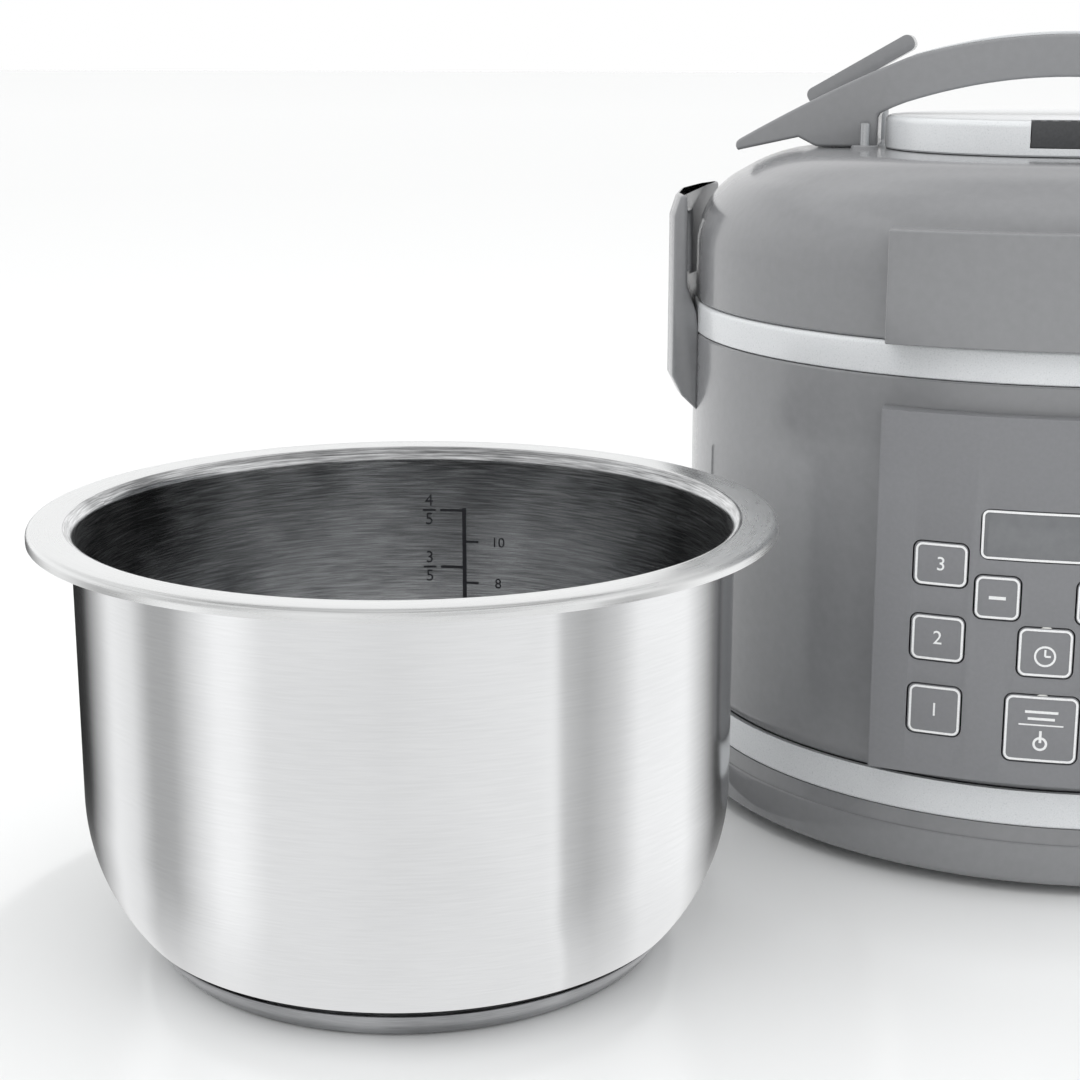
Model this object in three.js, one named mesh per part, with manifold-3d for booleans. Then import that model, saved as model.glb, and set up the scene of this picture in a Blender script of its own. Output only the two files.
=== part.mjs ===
// Electric pressure cooker with a hinged lid, and its lift-out steel pot standing beside it.
// Millimetres, +Z up. The cooker is modelled about its own axis and the pot about its own;
// the exported group then moves both so that the whole stands centred on the origin.
import * as THREE from 'three';
import * as BufferGeometryUtils from 'three/addons/utils/BufferGeometryUtils.js';
import Module from 'manifold-3d';

const wasm = await Module();
wasm.setup();

// ---------- driving dimensions ----------
const gap = 0.3;              // air kept between pieces that touch
const roundSegments = 32;
const smallSegments = 24;

// lift-out pot
const potHeight = 143.9;
const potFlangeRadius = 120;
const potBodyRadius = 106.2;
const potSheet = 1.2;
const potMouthRadius = 109.5;
const potLipDrop = 3.7;
const potCornerRadius = 69;
const potDiscHeight = 9.2;
const potDiscTopRadius = 88.3;
const potDiscBottomRadius = 82.3;
const potCapSheet = 1;
const potOffset = [-205, -210];   // pot axis seen from the cooker axis

// heights of the cooker, from the table up
const footHeight = 3.4;
const baseHeight = 21.3;
const bandHeight = 13;
const casingHeight = 142;
const trimHeight = 11.8;
const lidHeight = 58;
const wellRimRise = 5.3;          // top of the well's rim above the foot of the trim ring
const seatDepth = 18;             // heating plate top above the underside of the well

// radii and walls of the cooker
const casingRadius = 142;
const casingWall = 2.5;
const lidInset = 0.5;             // lid edge inside the casing's
const lidWall = 3;
const domeFlatRadius = 98;
const wellRadius = 110;           // inside of the well that takes the pot
const wellWall = 1.5;
const wellRimThickness = 3.6;
const wellRimRadius = 129;
const plateRadius = 82;

// bayonet lock under the lid
const lugCount = 8;
const lugAngle = 17;
const toothAngle = 20;
const lockTurn = 20;
const lugThickness = 4.2;
const lugInnerRadius = 124;
const lockClearance = 3;          // air between the lid's wall and the lock's skirt
const lockWall = 2.2;

// front panel and the lid's visor above it
const panelHalfWidth = 58;
const panelReach = 7;             // panel front beyond the casing
const panelCurve = 220;
const panelBottom = 44;
const panelTop = 171;
const visorHeight = 38;
const keyGap = 0.5;
const keyProud = 0.5;
const keySetback = 11;            // back of the keys inside the casing's face
const displayWidth = 46.6;
const displayHeight = 17.5;
const displayMiddle = 131.2;

// carrying handle
const handleRise = 44.5;          // arch top above the dome flat
const handleWidth = 26;
const handleSpan = 126.5;         // wing tip from the axis
const footInner = 71.5;
const footOuter = 95;
const inlayThickness = 1.5;
const postRadius = 84;

// lid hinge
const hingeReach = 16;            // hinge line behind the casing
const hingeDrop = 2.7;            // hinge line under the trim ring's top
const hingePinRadius = 3;
const hingeArmHalf = 18;
const hingeCheek = 8;

// grips, cup, lever
const gripProud = 10.6;           // grip beyond the casing
const gripAngle = 34;
const gripBelow = 30.9;           // grip foot under the trim ring
const gripAbove = 41.3;           // grip top over the trim ring
const gripSlotHeight = 24;
const gripSlotHalf = 9;
const cupWidth = 50;
const cupDepth = 24;
const cupHeight = 44;
const cupBottom = 98;
const platformRadius = 69;
const platformHeight = 12.7;
const leverAngle = 29.7;

// ---------- levels worked out from them ----------
const trayBottom = footHeight + gap;
const trayTop = trayBottom + baseHeight;
const bandBottom = trayTop + gap;
const bandTop = bandBottom + bandHeight;
const casingBottom = bandTop + gap;
const casingTop = casingBottom + casingHeight;
const trimBottom = casingTop + gap;
const trimTop = trimBottom + trimHeight;
const lidBottom = trimTop + gap;
const domeTop = lidBottom + lidHeight;
const wellRimTop = trimBottom + wellRimRise;
const seatHeight = wellRimTop + potLipDrop - potHeight;   // top of the heating plate
const wellFloor = seatHeight - seatDepth;
const wellRimBottom = wellRimTop - wellRimThickness;
const seatedFlangeTop = seatHeight + potHeight;
const lugTop = wellRimBottom - 1.2;
const lugBottom = lugTop - lugThickness;
const innerLidHeight = seatedFlangeTop + 8.5;
const lockPlateBottom = innerLidHeight + 5.5;
const troughFloor = lugBottom - 8;
const lidRadius = casingRadius - lidInset;
const lockSkirtRadius = lidRadius - lidWall - lockClearance;
const panelFront = casingRadius + panelReach;
const keyBack = casingRadius - keySetback;
const hingeBack = casingRadius + hingeReach;
const hingeHeight = trimTop - hingeDrop;
const gripReach = casingRadius + gripProud;
const gripBottom = trimBottom - gripBelow;
const gripTop = trimTop + gripAbove;

// ---------- materials ----------
function finish(color, roughness, metalness) {
  return new THREE.MeshStandardMaterial({ color, roughness, metalness });
}
const darkPlastic = () => finish('#808285', 0.3, 0);
const blackPlastic = () => finish('#4b4c4e', 0.5, 0);
const silverPlastic = () => finish('#cdd0d3', 0.35, 0.3);
const steel = () => finish('#dfe2e4', 0.2, 1);
const aluminium = () => finish('#b5b7b9', 0.45, 1);
const rubber = () => finish('#2b2b2c', 0.9, 0);
const silicone = () => finish('#d9d9d6', 0.7, 0);
const board = () => finish('#1f6a3a', 0.5, 0);

// ---------- helpers ----------
const radians = (degrees) => degrees * Math.PI / 180;

function arcPoints(centreR, centreZ, radius, fromDegrees, toDegrees, steps) {
  return Array.from({ length: steps + 1 }, (_, i) => {
    const angle = radians(fromDegrees + (toDegrees - fromDegrees) * i / steps);
    return [centreR + radius * Math.cos(angle), centreZ + radius * Math.sin(angle)];
  });
}

// A closed outline in (radius, height), turned about Z.
function turned(outline, segments = roundSegments) {
  const onAxis = outline[0][0] === 0;
  const points = outline.map(([r, z]) => new THREE.Vector2(r, z));
  if (THREE.ShapeUtils.area(points) < 0) points.reverse();
  const start = points.findIndex((p) => p.x === 0);
  const next = points[(start + 1) % points.length];
  const shift = onAxis && next.x === 0 ? start + 1 : Math.max(start, 0);
  const ordered = points.slice(shift).concat(points.slice(0, shift));
  if (!onAxis) ordered.push(ordered[0].clone());
  return new THREE.LatheGeometry(ordered, segments).rotateX(Math.PI / 2);
}

function toSolid(geometry) {
  const bare = geometry.clone();
  bare.deleteAttribute('normal');
  bare.deleteAttribute('uv');
  const merged = BufferGeometryUtils.mergeVertices(bare, 1e-4);
  const triangles = [];
  for (let i = 0; i < merged.index.count; i += 3) {
    const [a, b, c] = [0, 1, 2].map((k) => merged.index.getX(i + k));
    if (a !== b && b !== c && c !== a) triangles.push(a, b, c);
  }
  const mesh = new wasm.Mesh({
    numProp: 3,
    vertProperties: new Float32Array(merged.attributes.position.array),
    triVerts: new Uint32Array(triangles),
  });
  return new wasm.Manifold(mesh);
}

function toGeometry(solid) {
  const mesh = solid.getMesh();
  const geometry = new THREE.BufferGeometry();
  geometry.setAttribute('position', new THREE.BufferAttribute(mesh.vertProperties, 3));
  geometry.setIndex(new THREE.BufferAttribute(mesh.triVerts, 1));
  return geometry;
}

function cut(geometry, ...tools) {
  return toGeometry(tools.reduce((solid, tool) => solid.subtract(toSolid(tool)), toSolid(geometry)));
}

function join(geometry, ...others) {
  return toGeometry(others.reduce((solid, other) => solid.add(toSolid(other)), toSolid(geometry)));
}

function overlap(geometry, other) {
  return toGeometry(toSolid(geometry).intersect(toSolid(other)));
}

function box(x0, x1, y0, y1, z0, z1) {
  const geometry = new THREE.BoxGeometry(x1 - x0, y1 - y0, z1 - z0);
  return geometry.translate((x0 + x1) / 2, (y0 + y1) / 2, (z0 + z1) / 2);
}

function drum(radius, z0, z1, segments = roundSegments) {
  const geometry = new THREE.CylinderGeometry(radius, radius, z1 - z0, segments);
  return geometry.rotateX(Math.PI / 2).translate(0, 0, (z0 + z1) / 2);
}

// A flat outline in X and Y, raised from z0 to z1.
function raised(shape, z0, z1, curveSegments = 8) {
  const options = { depth: z1 - z0, bevelEnabled: false, curveSegments };
  return new THREE.ExtrudeGeometry(shape, options).translate(0, 0, z0);
}

// A flat outline in X and Z, run along Y from y0 to y1.
function alongY(shape, y0, y1, curveSegments = 8) {
  return raised(shape, 0, y1 - y0, curveSegments).rotateX(Math.PI / 2).translate(0, y1, 0);
}

// A flat outline in Y and Z, run along X from x0 to x1.
function alongX(shape, x0, x1, curveSegments = 8) {
  return raised(shape, x0, x1, curveSegments).rotateX(Math.PI / 2).rotateZ(Math.PI / 2);
}

function polygon(points) {
  return new THREE.Shape(points.map(([x, y]) => new THREE.Vector2(x, y)));
}

function roundedRect(width, height, radius, centreX = 0, centreY = 0) {
  const x = centreX - width / 2;
  const y = centreY - height / 2;
  const shape = new THREE.Shape();
  shape.absarc(x + width - radius, y + radius, radius, -Math.PI / 2, 0);
  shape.absarc(x + width - radius, y + height - radius, radius, 0, Math.PI / 2);
  shape.absarc(x + radius, y + height - radius, radius, Math.PI / 2, Math.PI);
  shape.absarc(x + radius, y + radius, radius, Math.PI, Math.PI * 1.5);
  return shape;
}

function sector(innerRadius, outerRadius, fromDegrees, toDegrees) {
  const shape = new THREE.Shape();
  shape.absarc(0, 0, outerRadius, radians(fromDegrees), radians(toDegrees), false);
  shape.absarc(0, 0, innerRadius, radians(toDegrees), radians(fromDegrees), true);
  return shape;
}

function named(name, geometry, material) {
  const mesh = new THREE.Mesh(geometry, material);
  mesh.name = name;
  return mesh;
}

// ---------- lift-out pot, about its own axis ----------
function potShell() {
  const arcR = potBodyRadius - potCornerRadius;
  const arcZ = 55;
  const low = potDiscHeight + gap;
  const outerAngle = -radians(90) + Math.acos((arcZ - low) / potCornerRadius);
  const outerStart = outerAngle * 180 / Math.PI;
  const innerLow = low + potSheet;
  const innerRadius = potCornerRadius - potSheet;
  const innerStart = -90 + Math.acos((arcZ - innerLow) / innerRadius) * 180 / Math.PI;
  const flangeUnder = potHeight - potSheet;
  const neck = potMouthRadius - potBodyRadius + potSheet;
  return turned([
    [0, low], ...arcPoints(arcR, arcZ, potCornerRadius, outerStart, 0, 6),
    [potBodyRadius, flangeUnder - neck],
    ...arcPoints(potBodyRadius + neck, flangeUnder - neck, neck, 180, 90, 3).slice(1),
    [potFlangeRadius - potSheet, flangeUnder],
    [potFlangeRadius - potSheet, potHeight - potLipDrop], [potFlangeRadius, potHeight - potLipDrop],
    [potFlangeRadius, potHeight - 0.8], [potFlangeRadius - 0.8, potHeight], [potMouthRadius, potHeight],
    [potBodyRadius - potSheet + 1, potHeight - 3], [potBodyRadius - potSheet, potHeight - neck - potSheet],
    ...arcPoints(arcR, arcZ, innerRadius, 0, innerStart, 6), [0, innerLow],
  ]);
}

function potCapOutline(inset, low, high) {
  const slope = (potDiscTopRadius - potDiscBottomRadius) / potDiscHeight;
  return [[potDiscBottomRadius + slope * low - inset, low], [potDiscBottomRadius + slope * high - inset, high]];
}

function potBaseCap() {
  return turned([
    [0, 0], [potDiscBottomRadius - 2, 0], ...potCapOutline(0, 1.5, potDiscHeight),
    ...potCapOutline(potCapSheet, potCapSheet, potDiscHeight).reverse(), [0, potCapSheet],
  ]);
}

function potCore() {
  const low = potCapSheet + gap;
  return turned([
    [0, low], ...potCapOutline(potCapSheet + gap, low, potDiscHeight), [0, potDiscHeight],
  ]);
}

function innerPot() {
  const pot = new THREE.Group();
  pot.add(
    named('pot_shell', potShell(), steel()),
    named('pot_core_disc', potCore(), aluminium()),
    named('pot_base_cap', potBaseCap(), steel()),
  );
  pot.position.set(potOffset[0], potOffset[1], 0);
  return pot;
}

// ---------- base, casing and well ----------
function baseTray() {
  const outer = casingRadius - 0.5;
  return turned([
    [0, trayBottom], [outer - 4, trayBottom], [outer - 0.5, trayBottom + 3],
    [outer, trayTop - 5.5], [outer - 2.5, trayTop], [outer - 5, trayTop],
    [outer - 4, trayBottom + 4], [outer - 6, trayBottom + 2.5], [0, trayBottom + 2.5],
  ]);
}

function foot(x, y) {
  return drum(9, 0, footHeight, smallSegments).translate(x, y, 0);
}

function lowerBand() {
  const outer = casingRadius - 3;
  return turned([
    [outer - 2, bandBottom], [outer, bandBottom], [outer + 0.8, bandTop], [outer - 1.2, bandTop],
  ]);
}

function inletBlock(clearance, back, front) {
  const half = 17 + clearance;
  return box(-half, half, back, front, 52 - clearance, 78 + clearance);
}

function outerCasing() {
  const shell = turned([
    [casingRadius - 4.5, casingBottom], [casingRadius, casingBottom + 9], [casingRadius, casingTop],
    [casingRadius - casingWall, casingTop], [casingRadius - casingWall, casingBottom + 9.5],
    [casingRadius - 4.5 - casingWall, casingBottom],
  ]);
  const half = panelHalfWidth - 8;
  const window = box(-half, half, -casingRadius - 5, -casingRadius + 30, panelBottom + 8, panelTop - 18);
  return cut(shell, window, inletBlock(gap, casingRadius - 20, casingRadius + 5));
}

function trimRing() {
  return turned([
    [casingRadius - 3.5, trimBottom], [casingRadius, trimBottom], [casingRadius, trimTop - 1],
    [casingRadius - 1, trimTop], [casingRadius - 3.5, trimTop],
  ]);
}

function deckTrough() {
  const outer = casingRadius - 3.5 - gap;
  const wellOuter = wellRadius + wellWall + gap;
  return turned([
    [wellOuter, troughFloor], [outer, troughFloor], [outer, trimTop - 1.4], [outer - 1.6, trimTop - 1.4],
    [outer - 1.6, troughFloor + 2], [wellOuter + 1.6, troughFloor + 2],
    [wellOuter + 1.6, troughFloor + 6], [wellOuter, troughFloor + 6],
  ]);
}

// The well's rim is cut into teeth that the lock's lugs pass between.
function middlePot() {
  const outer = wellRadius + wellWall;
  const corner = 14;
  const well = turned([
    [0, wellFloor], ...arcPoints(outer - corner, wellFloor + corner, corner, -90, 0, 3),
    [outer, wellRimBottom], [wellRimRadius, wellRimBottom], [wellRimRadius, wellRimTop],
    [wellRadius, wellRimTop], ...arcPoints(outer - corner, wellFloor + corner, corner - wellWall, 0, -90, 3),
    [0, wellFloor + wellWall],
  ]);
  const pitch = 360 / lugCount;
  const notches = Array.from({ length: lugCount }, (_, i) => {
    const middle = i * pitch + pitch / 2;
    const half = (pitch - toothAngle) / 2;
    const shape = sector(lugInnerRadius - 5, wellRimRadius + 5, middle - half, middle + half);
    return raised(shape, wellRimBottom - 1, wellRimTop + 1, 3);
  });
  return cut(well, ...notches);
}

function heatingPlate() {
  const floor = wellFloor + wellWall + gap;
  return turned([
    [15, seatHeight - 9], [58, seatHeight - 9], [60, floor], [66, floor], [68, seatHeight - 9],
    [plateRadius - 2, seatHeight - 9], [plateRadius, seatHeight - 6], [plateRadius, seatHeight - 1.5],
    [plateRadius - 1.5, seatHeight],
    [15, seatHeight],
  ], 32);
}

function sensorCap() {
  return turned([
    [0, seatHeight - 7], [13.5, seatHeight - 7], [13.5, seatHeight + 0.8], [12, seatHeight + 1.8],
    [0, seatHeight + 1.8],
  ], smallSegments);
}

function springPlate() {
  return turned([
    [0, wellFloor - 8], [62, wellFloor - 8], [66, wellFloor - gap], [63.5, wellFloor - gap],
    [60, wellFloor - 6.8], [0, wellFloor - 6.8],
  ], 32);
}

function powerBoard() {
  const plate = box(-106, -40, -38, 38, trayBottom + 7.5, trayBottom + 9.1);
  const posts = [[-100, -32], [-100, 32], [-46, -32], [-46, 32]].map(([x, y]) =>
    drum(3, trayBottom + 2.5 + gap, trayBottom + 8, 8).translate(x, y, 0));
  return join(plate, ...posts);
}

function pressureSwitch() {
  return box(20, 44, -9, 9, trayBottom + 2.5 + gap, wellFloor - 8 - gap);
}

function powerInlet() {
  const block = inletBlock(0, casingRadius - 14, casingRadius + 5);
  return cut(block, box(-13, 13, casingRadius - 11, casingRadius + 8, 57, 73));
}

function inletPin(x) {
  return box(x - 2, x + 2, casingRadius - 11 + gap, casingRadius + 1, 63.5, 66.5);
}

// ---------- front panel ----------
// Outline of a raised front between the panel's curve and a circle about the cooker's axis.
function panelOutline(backRadius, inset = 0, halfWidth = panelHalfWidth) {
  const shape = new THREE.Shape();
  const centreY = panelCurve - panelFront;
  const frontRadius = panelCurve - inset;
  const frontHalf = Math.asin(halfWidth / frontRadius);
  const backHalf = Math.asin(halfWidth / backRadius);
  shape.absarc(0, centreY, frontRadius, -Math.PI / 2 - frontHalf, -Math.PI / 2 + frontHalf, false);
  shape.absarc(0, 0, backRadius, -Math.PI / 2 + backHalf, -Math.PI / 2 - backHalf, true);
  return shape;
}

const sideColumn = 36;
const keys = [
  { name: 'key_minus', x: -16.7, z: 109.5, width: 15, height: 15 },
  { name: 'key_plus', x: 16.7, z: 109.5, width: 15, height: 15 },
  { name: 'key_timer', x: 0, z: 91.5, width: 18, height: 17 },
  { name: 'key_cancel', x: 0, z: 64.5, width: 24.4, height: 23.6 },
  ...[['left', -sideColumn], ['right', sideColumn]].flatMap(([side, x]) => [
    { name: `key_${side}_top`, x, z: 119.5, width: 18, height: 15 },
    { name: `key_${side}_middle`, x, z: 93.5, width: 18, height: 16 },
    { name: `key_${side}_bottom`, x, z: 67.8, width: 18, height: 17.5 },
  ]),
];

function keyPrism(key, clearance, back, front) {
  const shape = roundedRect(
    key.width + clearance * 2, key.height + clearance * 2, 2.5 + clearance, key.x, key.z);
  return alongY(shape, -front, -back, 2);
}

const displaySlot = { x: 0, z: displayMiddle, width: displayWidth, height: displayHeight };

function controlHousing() {
  const solid = overlap(
    raised(panelOutline(casingRadius + gap + 3, 0), panelBottom, panelTop, 8),
    box(-panelHalfWidth, panelHalfWidth, -panelFront - 1, 0, panelBottom, panelTop));
  const front = join(solid, raised(panelOutline(casingRadius - 5), panelBottom, panelTop, 8));
  const holes = [...keys, displaySlot].map((key) => keyPrism(key, keyGap, casingRadius - 22, panelFront + 5));
  return cut(front, drum(casingRadius + gap, panelBottom - 1, panelTop + 1), ...holes);
}

function keyCap(key) {
  const slab = raised(panelOutline(keyBack, -keyProud, panelHalfWidth - 6), panelBottom, panelTop, 8);
  return overlap(keyPrism(key, 0, keyBack, panelFront + 3), slab);
}

function displayLens() {
  const slab = raised(panelOutline(casingRadius - 0.2, 0.4, panelHalfWidth - 20), panelBottom, panelTop, 8);
  return overlap(keyPrism(displaySlot, gap - keyGap, casingRadius - 4, panelFront + 3), slab);
}

function controlBoard() {
  const plate = keyBack - keyGap * 4;
  return box(-50, 50, -plate, -plate + 1.6, panelBottom + 9, panelTop - 20);
}

// ---------- grips, hinge bracket, cup ----------
function sideGrip(side) {
  const inner = casingRadius + gap;
  const ring = turned([
    [inner, gripBottom], [gripReach - 4, gripBottom + 6], [gripReach, gripBottom + 14],
    [gripReach, gripTop - 8], [gripReach - 2.5, gripTop], [gripReach - 5, gripTop],
    [gripReach - 5.6, trimTop + 6], [inner + 1, trimTop - 4], [inner, trimBottom],
  ]);
  const middle = side < 0 ? 180 : 0;
  const wedge = sector(inner - 10, gripReach + 10, middle - gripAngle / 2, middle + gripAngle / 2);
  const piece = overlap(ring, raised(wedge, gripBottom - 1, gripTop + 1, 4));
  const slotTop = gripTop - 10;
  const slot = box(inner, gripReach + 5, -gripSlotHalf, gripSlotHalf, slotTop - gripSlotHeight, slotTop);
  return cut(piece, side < 0 ? slot.rotateZ(Math.PI) : slot);
}

function hingeBracket() {
  const half = hingeArmHalf + gap * 3 + hingeCheek;
  const back = box(-half, half, casingRadius - 6, casingRadius + 8, hingeHeight - 40, hingeHeight - 14);
  const cheekShape = polygon([
    [casingRadius + 3, hingeHeight - 30], [casingRadius + 9, hingeHeight - 38], [hingeBack + 8, hingeHeight - 6],
    [hingeBack + 7, hingeHeight + 4], [hingeBack + 2, hingeHeight + 8], [hingeBack - 5, hingeHeight + 7],
    [casingRadius + 5, hingeHeight - 6], [casingRadius + 3, hingeHeight - 18],
  ]);
  const inner = hingeArmHalf + gap * 3;
  const cheeks = [[-half, -inner], [inner, half]].map(([x0, x1]) => alongX(cheekShape, x0, x1));
  const bore = new THREE.CylinderGeometry(hingePinRadius + gap, hingePinRadius + gap, half * 3, 16);
  bore.rotateZ(Math.PI / 2).translate(0, hingeBack, hingeHeight);
  return cut(join(back, ...cheeks), drum(casingRadius + gap, hingeHeight - 50, hingeHeight - 5), bore);
}

function hingePin() {
  const half = hingeArmHalf + gap * 3 + hingeCheek + 1;
  const pin = new THREE.CylinderGeometry(hingePinRadius, hingePinRadius, half * 2, 16);
  return pin.rotateZ(Math.PI / 2).translate(0, hingeBack, hingeHeight);
}

const cupBack = casingRadius + 4;

function cupHolder() {
  const half = cupWidth / 2 + 5.5;
  const back = box(-half, half, casingRadius - 8, casingRadius + 3.4, cupBottom - 4, cupBottom + cupHeight + 2);
  const rails = [-1, 1].map((side) => {
    const x = [side * (cupWidth / 2 + 2.8), side * half].sort((a, b) => a - b);
    const lip = [side * (cupWidth / 2 + 0.4), side * half].sort((a, b) => a - b);
    return join(
      box(x[0], x[1], casingRadius + 3, casingRadius + 9, cupBottom - 4, cupBottom + cupHeight - 6),
      box(lip[0], lip[1], casingRadius + 7.5, casingRadius + 9, cupBottom - 4, cupBottom + cupHeight - 6),
      box(lip[0], lip[1], casingRadius + 3, casingRadius + 9, cupBottom - 4, cupBottom - 1));
  });
  return cut(join(back, ...rails), drum(casingRadius + gap, cupBottom - 10, cupBottom + cupHeight + 10));
}

function condensateCup() {
  const shape = roundedRect(cupWidth, cupDepth, 5, 0, cupBack + cupDepth / 2);
  const hollow = roundedRect(cupWidth - 3.2, cupDepth - 3.2, 3.6, 0, cupBack + cupDepth / 2);
  const wings = box(-cupWidth / 2 - 2.4, cupWidth / 2 + 2.4, cupBack + 1, cupBack + 3,
    cupBottom - 1 + gap, cupBottom + cupHeight - 8);
  const body = join(raised(shape, cupBottom, cupBottom + cupHeight, 3), wings);
  return cut(body, raised(hollow, cupBottom + 1.6, cupBottom + cupHeight + 1, 3));
}

// ---------- lid ----------
// The dome's outer line from the flat down to the lid's rim; offset moves it outward.
function domeLine(offset) {
  return [
    [domeFlatRadius, domeTop + offset], [domeFlatRadius + 14, domeTop - 2.8 + offset],
    [domeFlatRadius + 28 + offset / 2, domeTop - 9.5 + offset], [lidRadius - 5.5 + offset, domeTop - 18 + offset],
    [lidRadius - 1 + offset, domeTop - 29], [lidRadius + offset, domeTop - 36],
  ];
}

function arcSlot(middle, before, after, innerRadius, outerRadius) {
  const shape = sector(innerRadius, outerRadius, middle - after, middle + before);
  return raised(shape, domeTop - lidWall - 2, domeTop + 2, 6);
}

const floatPinAt = [-75.7, -19];
const leverMiddle = 82;
const plungerAt = [-76, leverMiddle];

function lidShell() {
  const shell = turned([
    [0, domeTop], ...domeLine(0), [lidRadius, lidBottom], [lidRadius - lidWall, lidBottom],
    ...domeLine(-lidWall).reverse(), [0, domeTop - lidWall],
  ]);
  const visor = cut(
    raised(panelOutline(lidRadius - 1.5), lidBottom, lidBottom + visorHeight, 8),
    drum(lidRadius - 1.5, lidBottom - 1, lidBottom + visorHeight - 6));
  const slots = [0, 180].map((middle) => arcSlot(middle, 4.5, lockTurn + 4.5, postRadius - 6, postRadius + 6));
  const holes = [
    drum(5.3, domeTop - 5, domeTop + 1, smallSegments),
    drum(2.6, domeTop - 5, domeTop + 1, 12).translate(floatPinAt[0], floatPinAt[1], 0),
    drum(3.4, domeTop - 25, domeTop + 1, 12).translate(plungerAt[0], plungerAt[1], 0),
  ];
  return cut(join(shell, visor), ...slots, ...holes);
}

function lidPlatform() {
  const low = domeTop + gap;
  const high = low + platformHeight;
  const cap = turned([
    [0, high], [platformRadius - 2, high], [platformRadius, high - 2], [platformRadius, low],
    [platformRadius - 2.5, low], [platformRadius - 2.5, high - 2.5], [0, high - 2.5],
  ]);
  return cut(cap, box(-13.8, 13.8, -platformRadius - 5, -56, low + 3, high + 1));
}

function ventGrille() {
  const low = domeTop + gap * 2 + 3;
  const high = domeTop + gap + platformHeight;
  const block = overlap(box(-13.5, 13.5, -platformRadius - 4, -56.3, low, high), drum(platformRadius, low, high));
  const slots = Array.from({ length: 6 }, (_, i) => {
    const x = -11.25 + i * 4.5;
    return box(x - 1.3, x + 1.3, -platformRadius - 5, -59, high - 4, high + 1);
  });
  return cut(block, ...slots);
}

function centreBoss() {
  return turned([
    [5.3, innerLidHeight + 1.2 + gap], [12, innerLidHeight + 1.2 + gap],
    [12, domeTop - lidWall - gap], [5.3, domeTop - lidWall - gap],
  ], smallSegments);
}

function innerLid() {
  const low = innerLidHeight;
  return turned([
    [5.3, low], [117.9, low], [117.9, seatedFlangeTop + 2.4], [119.1, seatedFlangeTop + 2.4],
    [119.1, low + 1.2], [5.3, low + 1.2],
  ]);
}

function sealingRing() {
  return turned([
    [109, seatedFlangeTop + 0.5], [117.4, seatedFlangeTop + 0.5],
    [117.4, innerLidHeight - gap], [109, innerLidHeight - gap],
    [109, innerLidHeight - 2], [113, innerLidHeight - 3.5], [109, seatedFlangeTop + 3],
  ]);
}

function ventTube() {
  return turned([
    [2, innerLidHeight - 6], [4.9, innerLidHeight - 6], [4.9, domeTop + 5], [2, domeTop + 5],
  ], 16);
}

function antiBlockCap() {
  const high = innerLidHeight - gap;
  return turned([
    [0, high - 14], [12, high - 14], [15, high - 11], [15, high], [13.6, high],
    [13.6, high - 10.5], [11.5, high - 12.6], [0, high - 12.6],
  ], smallSegments);
}

function pressureWeight() {
  return cut(
    drum(9, domeTop + 0.5, domeTop + 6.8, smallSegments),
    drum(5.2, domeTop, domeTop + 5.3, smallSegments));
}

function floatPin() {
  const pin = join(
    drum(1.9, innerLidHeight + 1.5, domeTop + 10, 12),
    drum(4, domeTop - lidWall - 8, domeTop - lidWall - 5, 12));
  return pin.translate(floatPinAt[0], floatPinAt[1], 0);
}

function lidHingeArm() {
  const shape = new THREE.Shape();
  shape.moveTo(casingRadius - 5, hingeHeight + 9);
  shape.lineTo(hingeBack - 8, hingeHeight + 2);
  shape.absarc(hingeBack, hingeHeight, 8, Math.PI, Math.PI * 2.25, false);
  shape.lineTo(casingRadius + 4, hingeHeight + 24);
  shape.lineTo(casingRadius - 5, hingeHeight + 24);
  const bore = new THREE.CylinderGeometry(hingePinRadius + gap, hingePinRadius + gap, hingeArmHalf * 3, 16);
  bore.rotateZ(Math.PI / 2).translate(0, hingeBack, hingeHeight);
  const arm = alongX(shape, -hingeArmHalf, hingeArmHalf, 8);
  return cut(arm, drum(lidRadius + gap, hingeHeight, hingeHeight + 40), bore);
}

// ---------- handle and lock, turning together ----------
function handleOutline() {
  const z = (rise) => domeTop + rise;
  const archHalf = 61;
  const shape = new THREE.Shape();
  shape.moveTo(-handleSpan, z(-1.5));
  shape.lineTo(-handleSpan, z(2.5));
  shape.quadraticCurveTo(-92, z(22), -archHalf, z(handleRise - 10));
  shape.quadraticCurveTo(0, z(handleRise + 10 - inlayThickness * 2), archHalf, z(handleRise - 10));
  shape.quadraticCurveTo(92, z(22), handleSpan, z(2.5));
  shape.lineTo(handleSpan, z(-1.5));
  shape.lineTo(footOuter + 7, z(4));
  shape.lineTo(footOuter, z(0.6));
  shape.lineTo(footInner, z(0.6));
  shape.lineTo(footInner, z(platformHeight));
  shape.quadraticCurveTo(footInner - 4, z(platformHeight + 2.5), footInner - 11, z(platformHeight + 5));
  shape.quadraticCurveTo(0, z(37), -footInner + 11, z(platformHeight + 5));
  shape.quadraticCurveTo(-footInner + 4, z(platformHeight + 2.5), -footInner, z(platformHeight));
  shape.lineTo(-footInner, z(0.6));
  shape.lineTo(-footOuter, z(0.6));
  shape.lineTo(-footOuter - 7, z(4));
  return shape;
}

function handleArch() {
  return alongY(handleOutline(), -handleWidth / 2, handleWidth / 2, 8);
}

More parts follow.
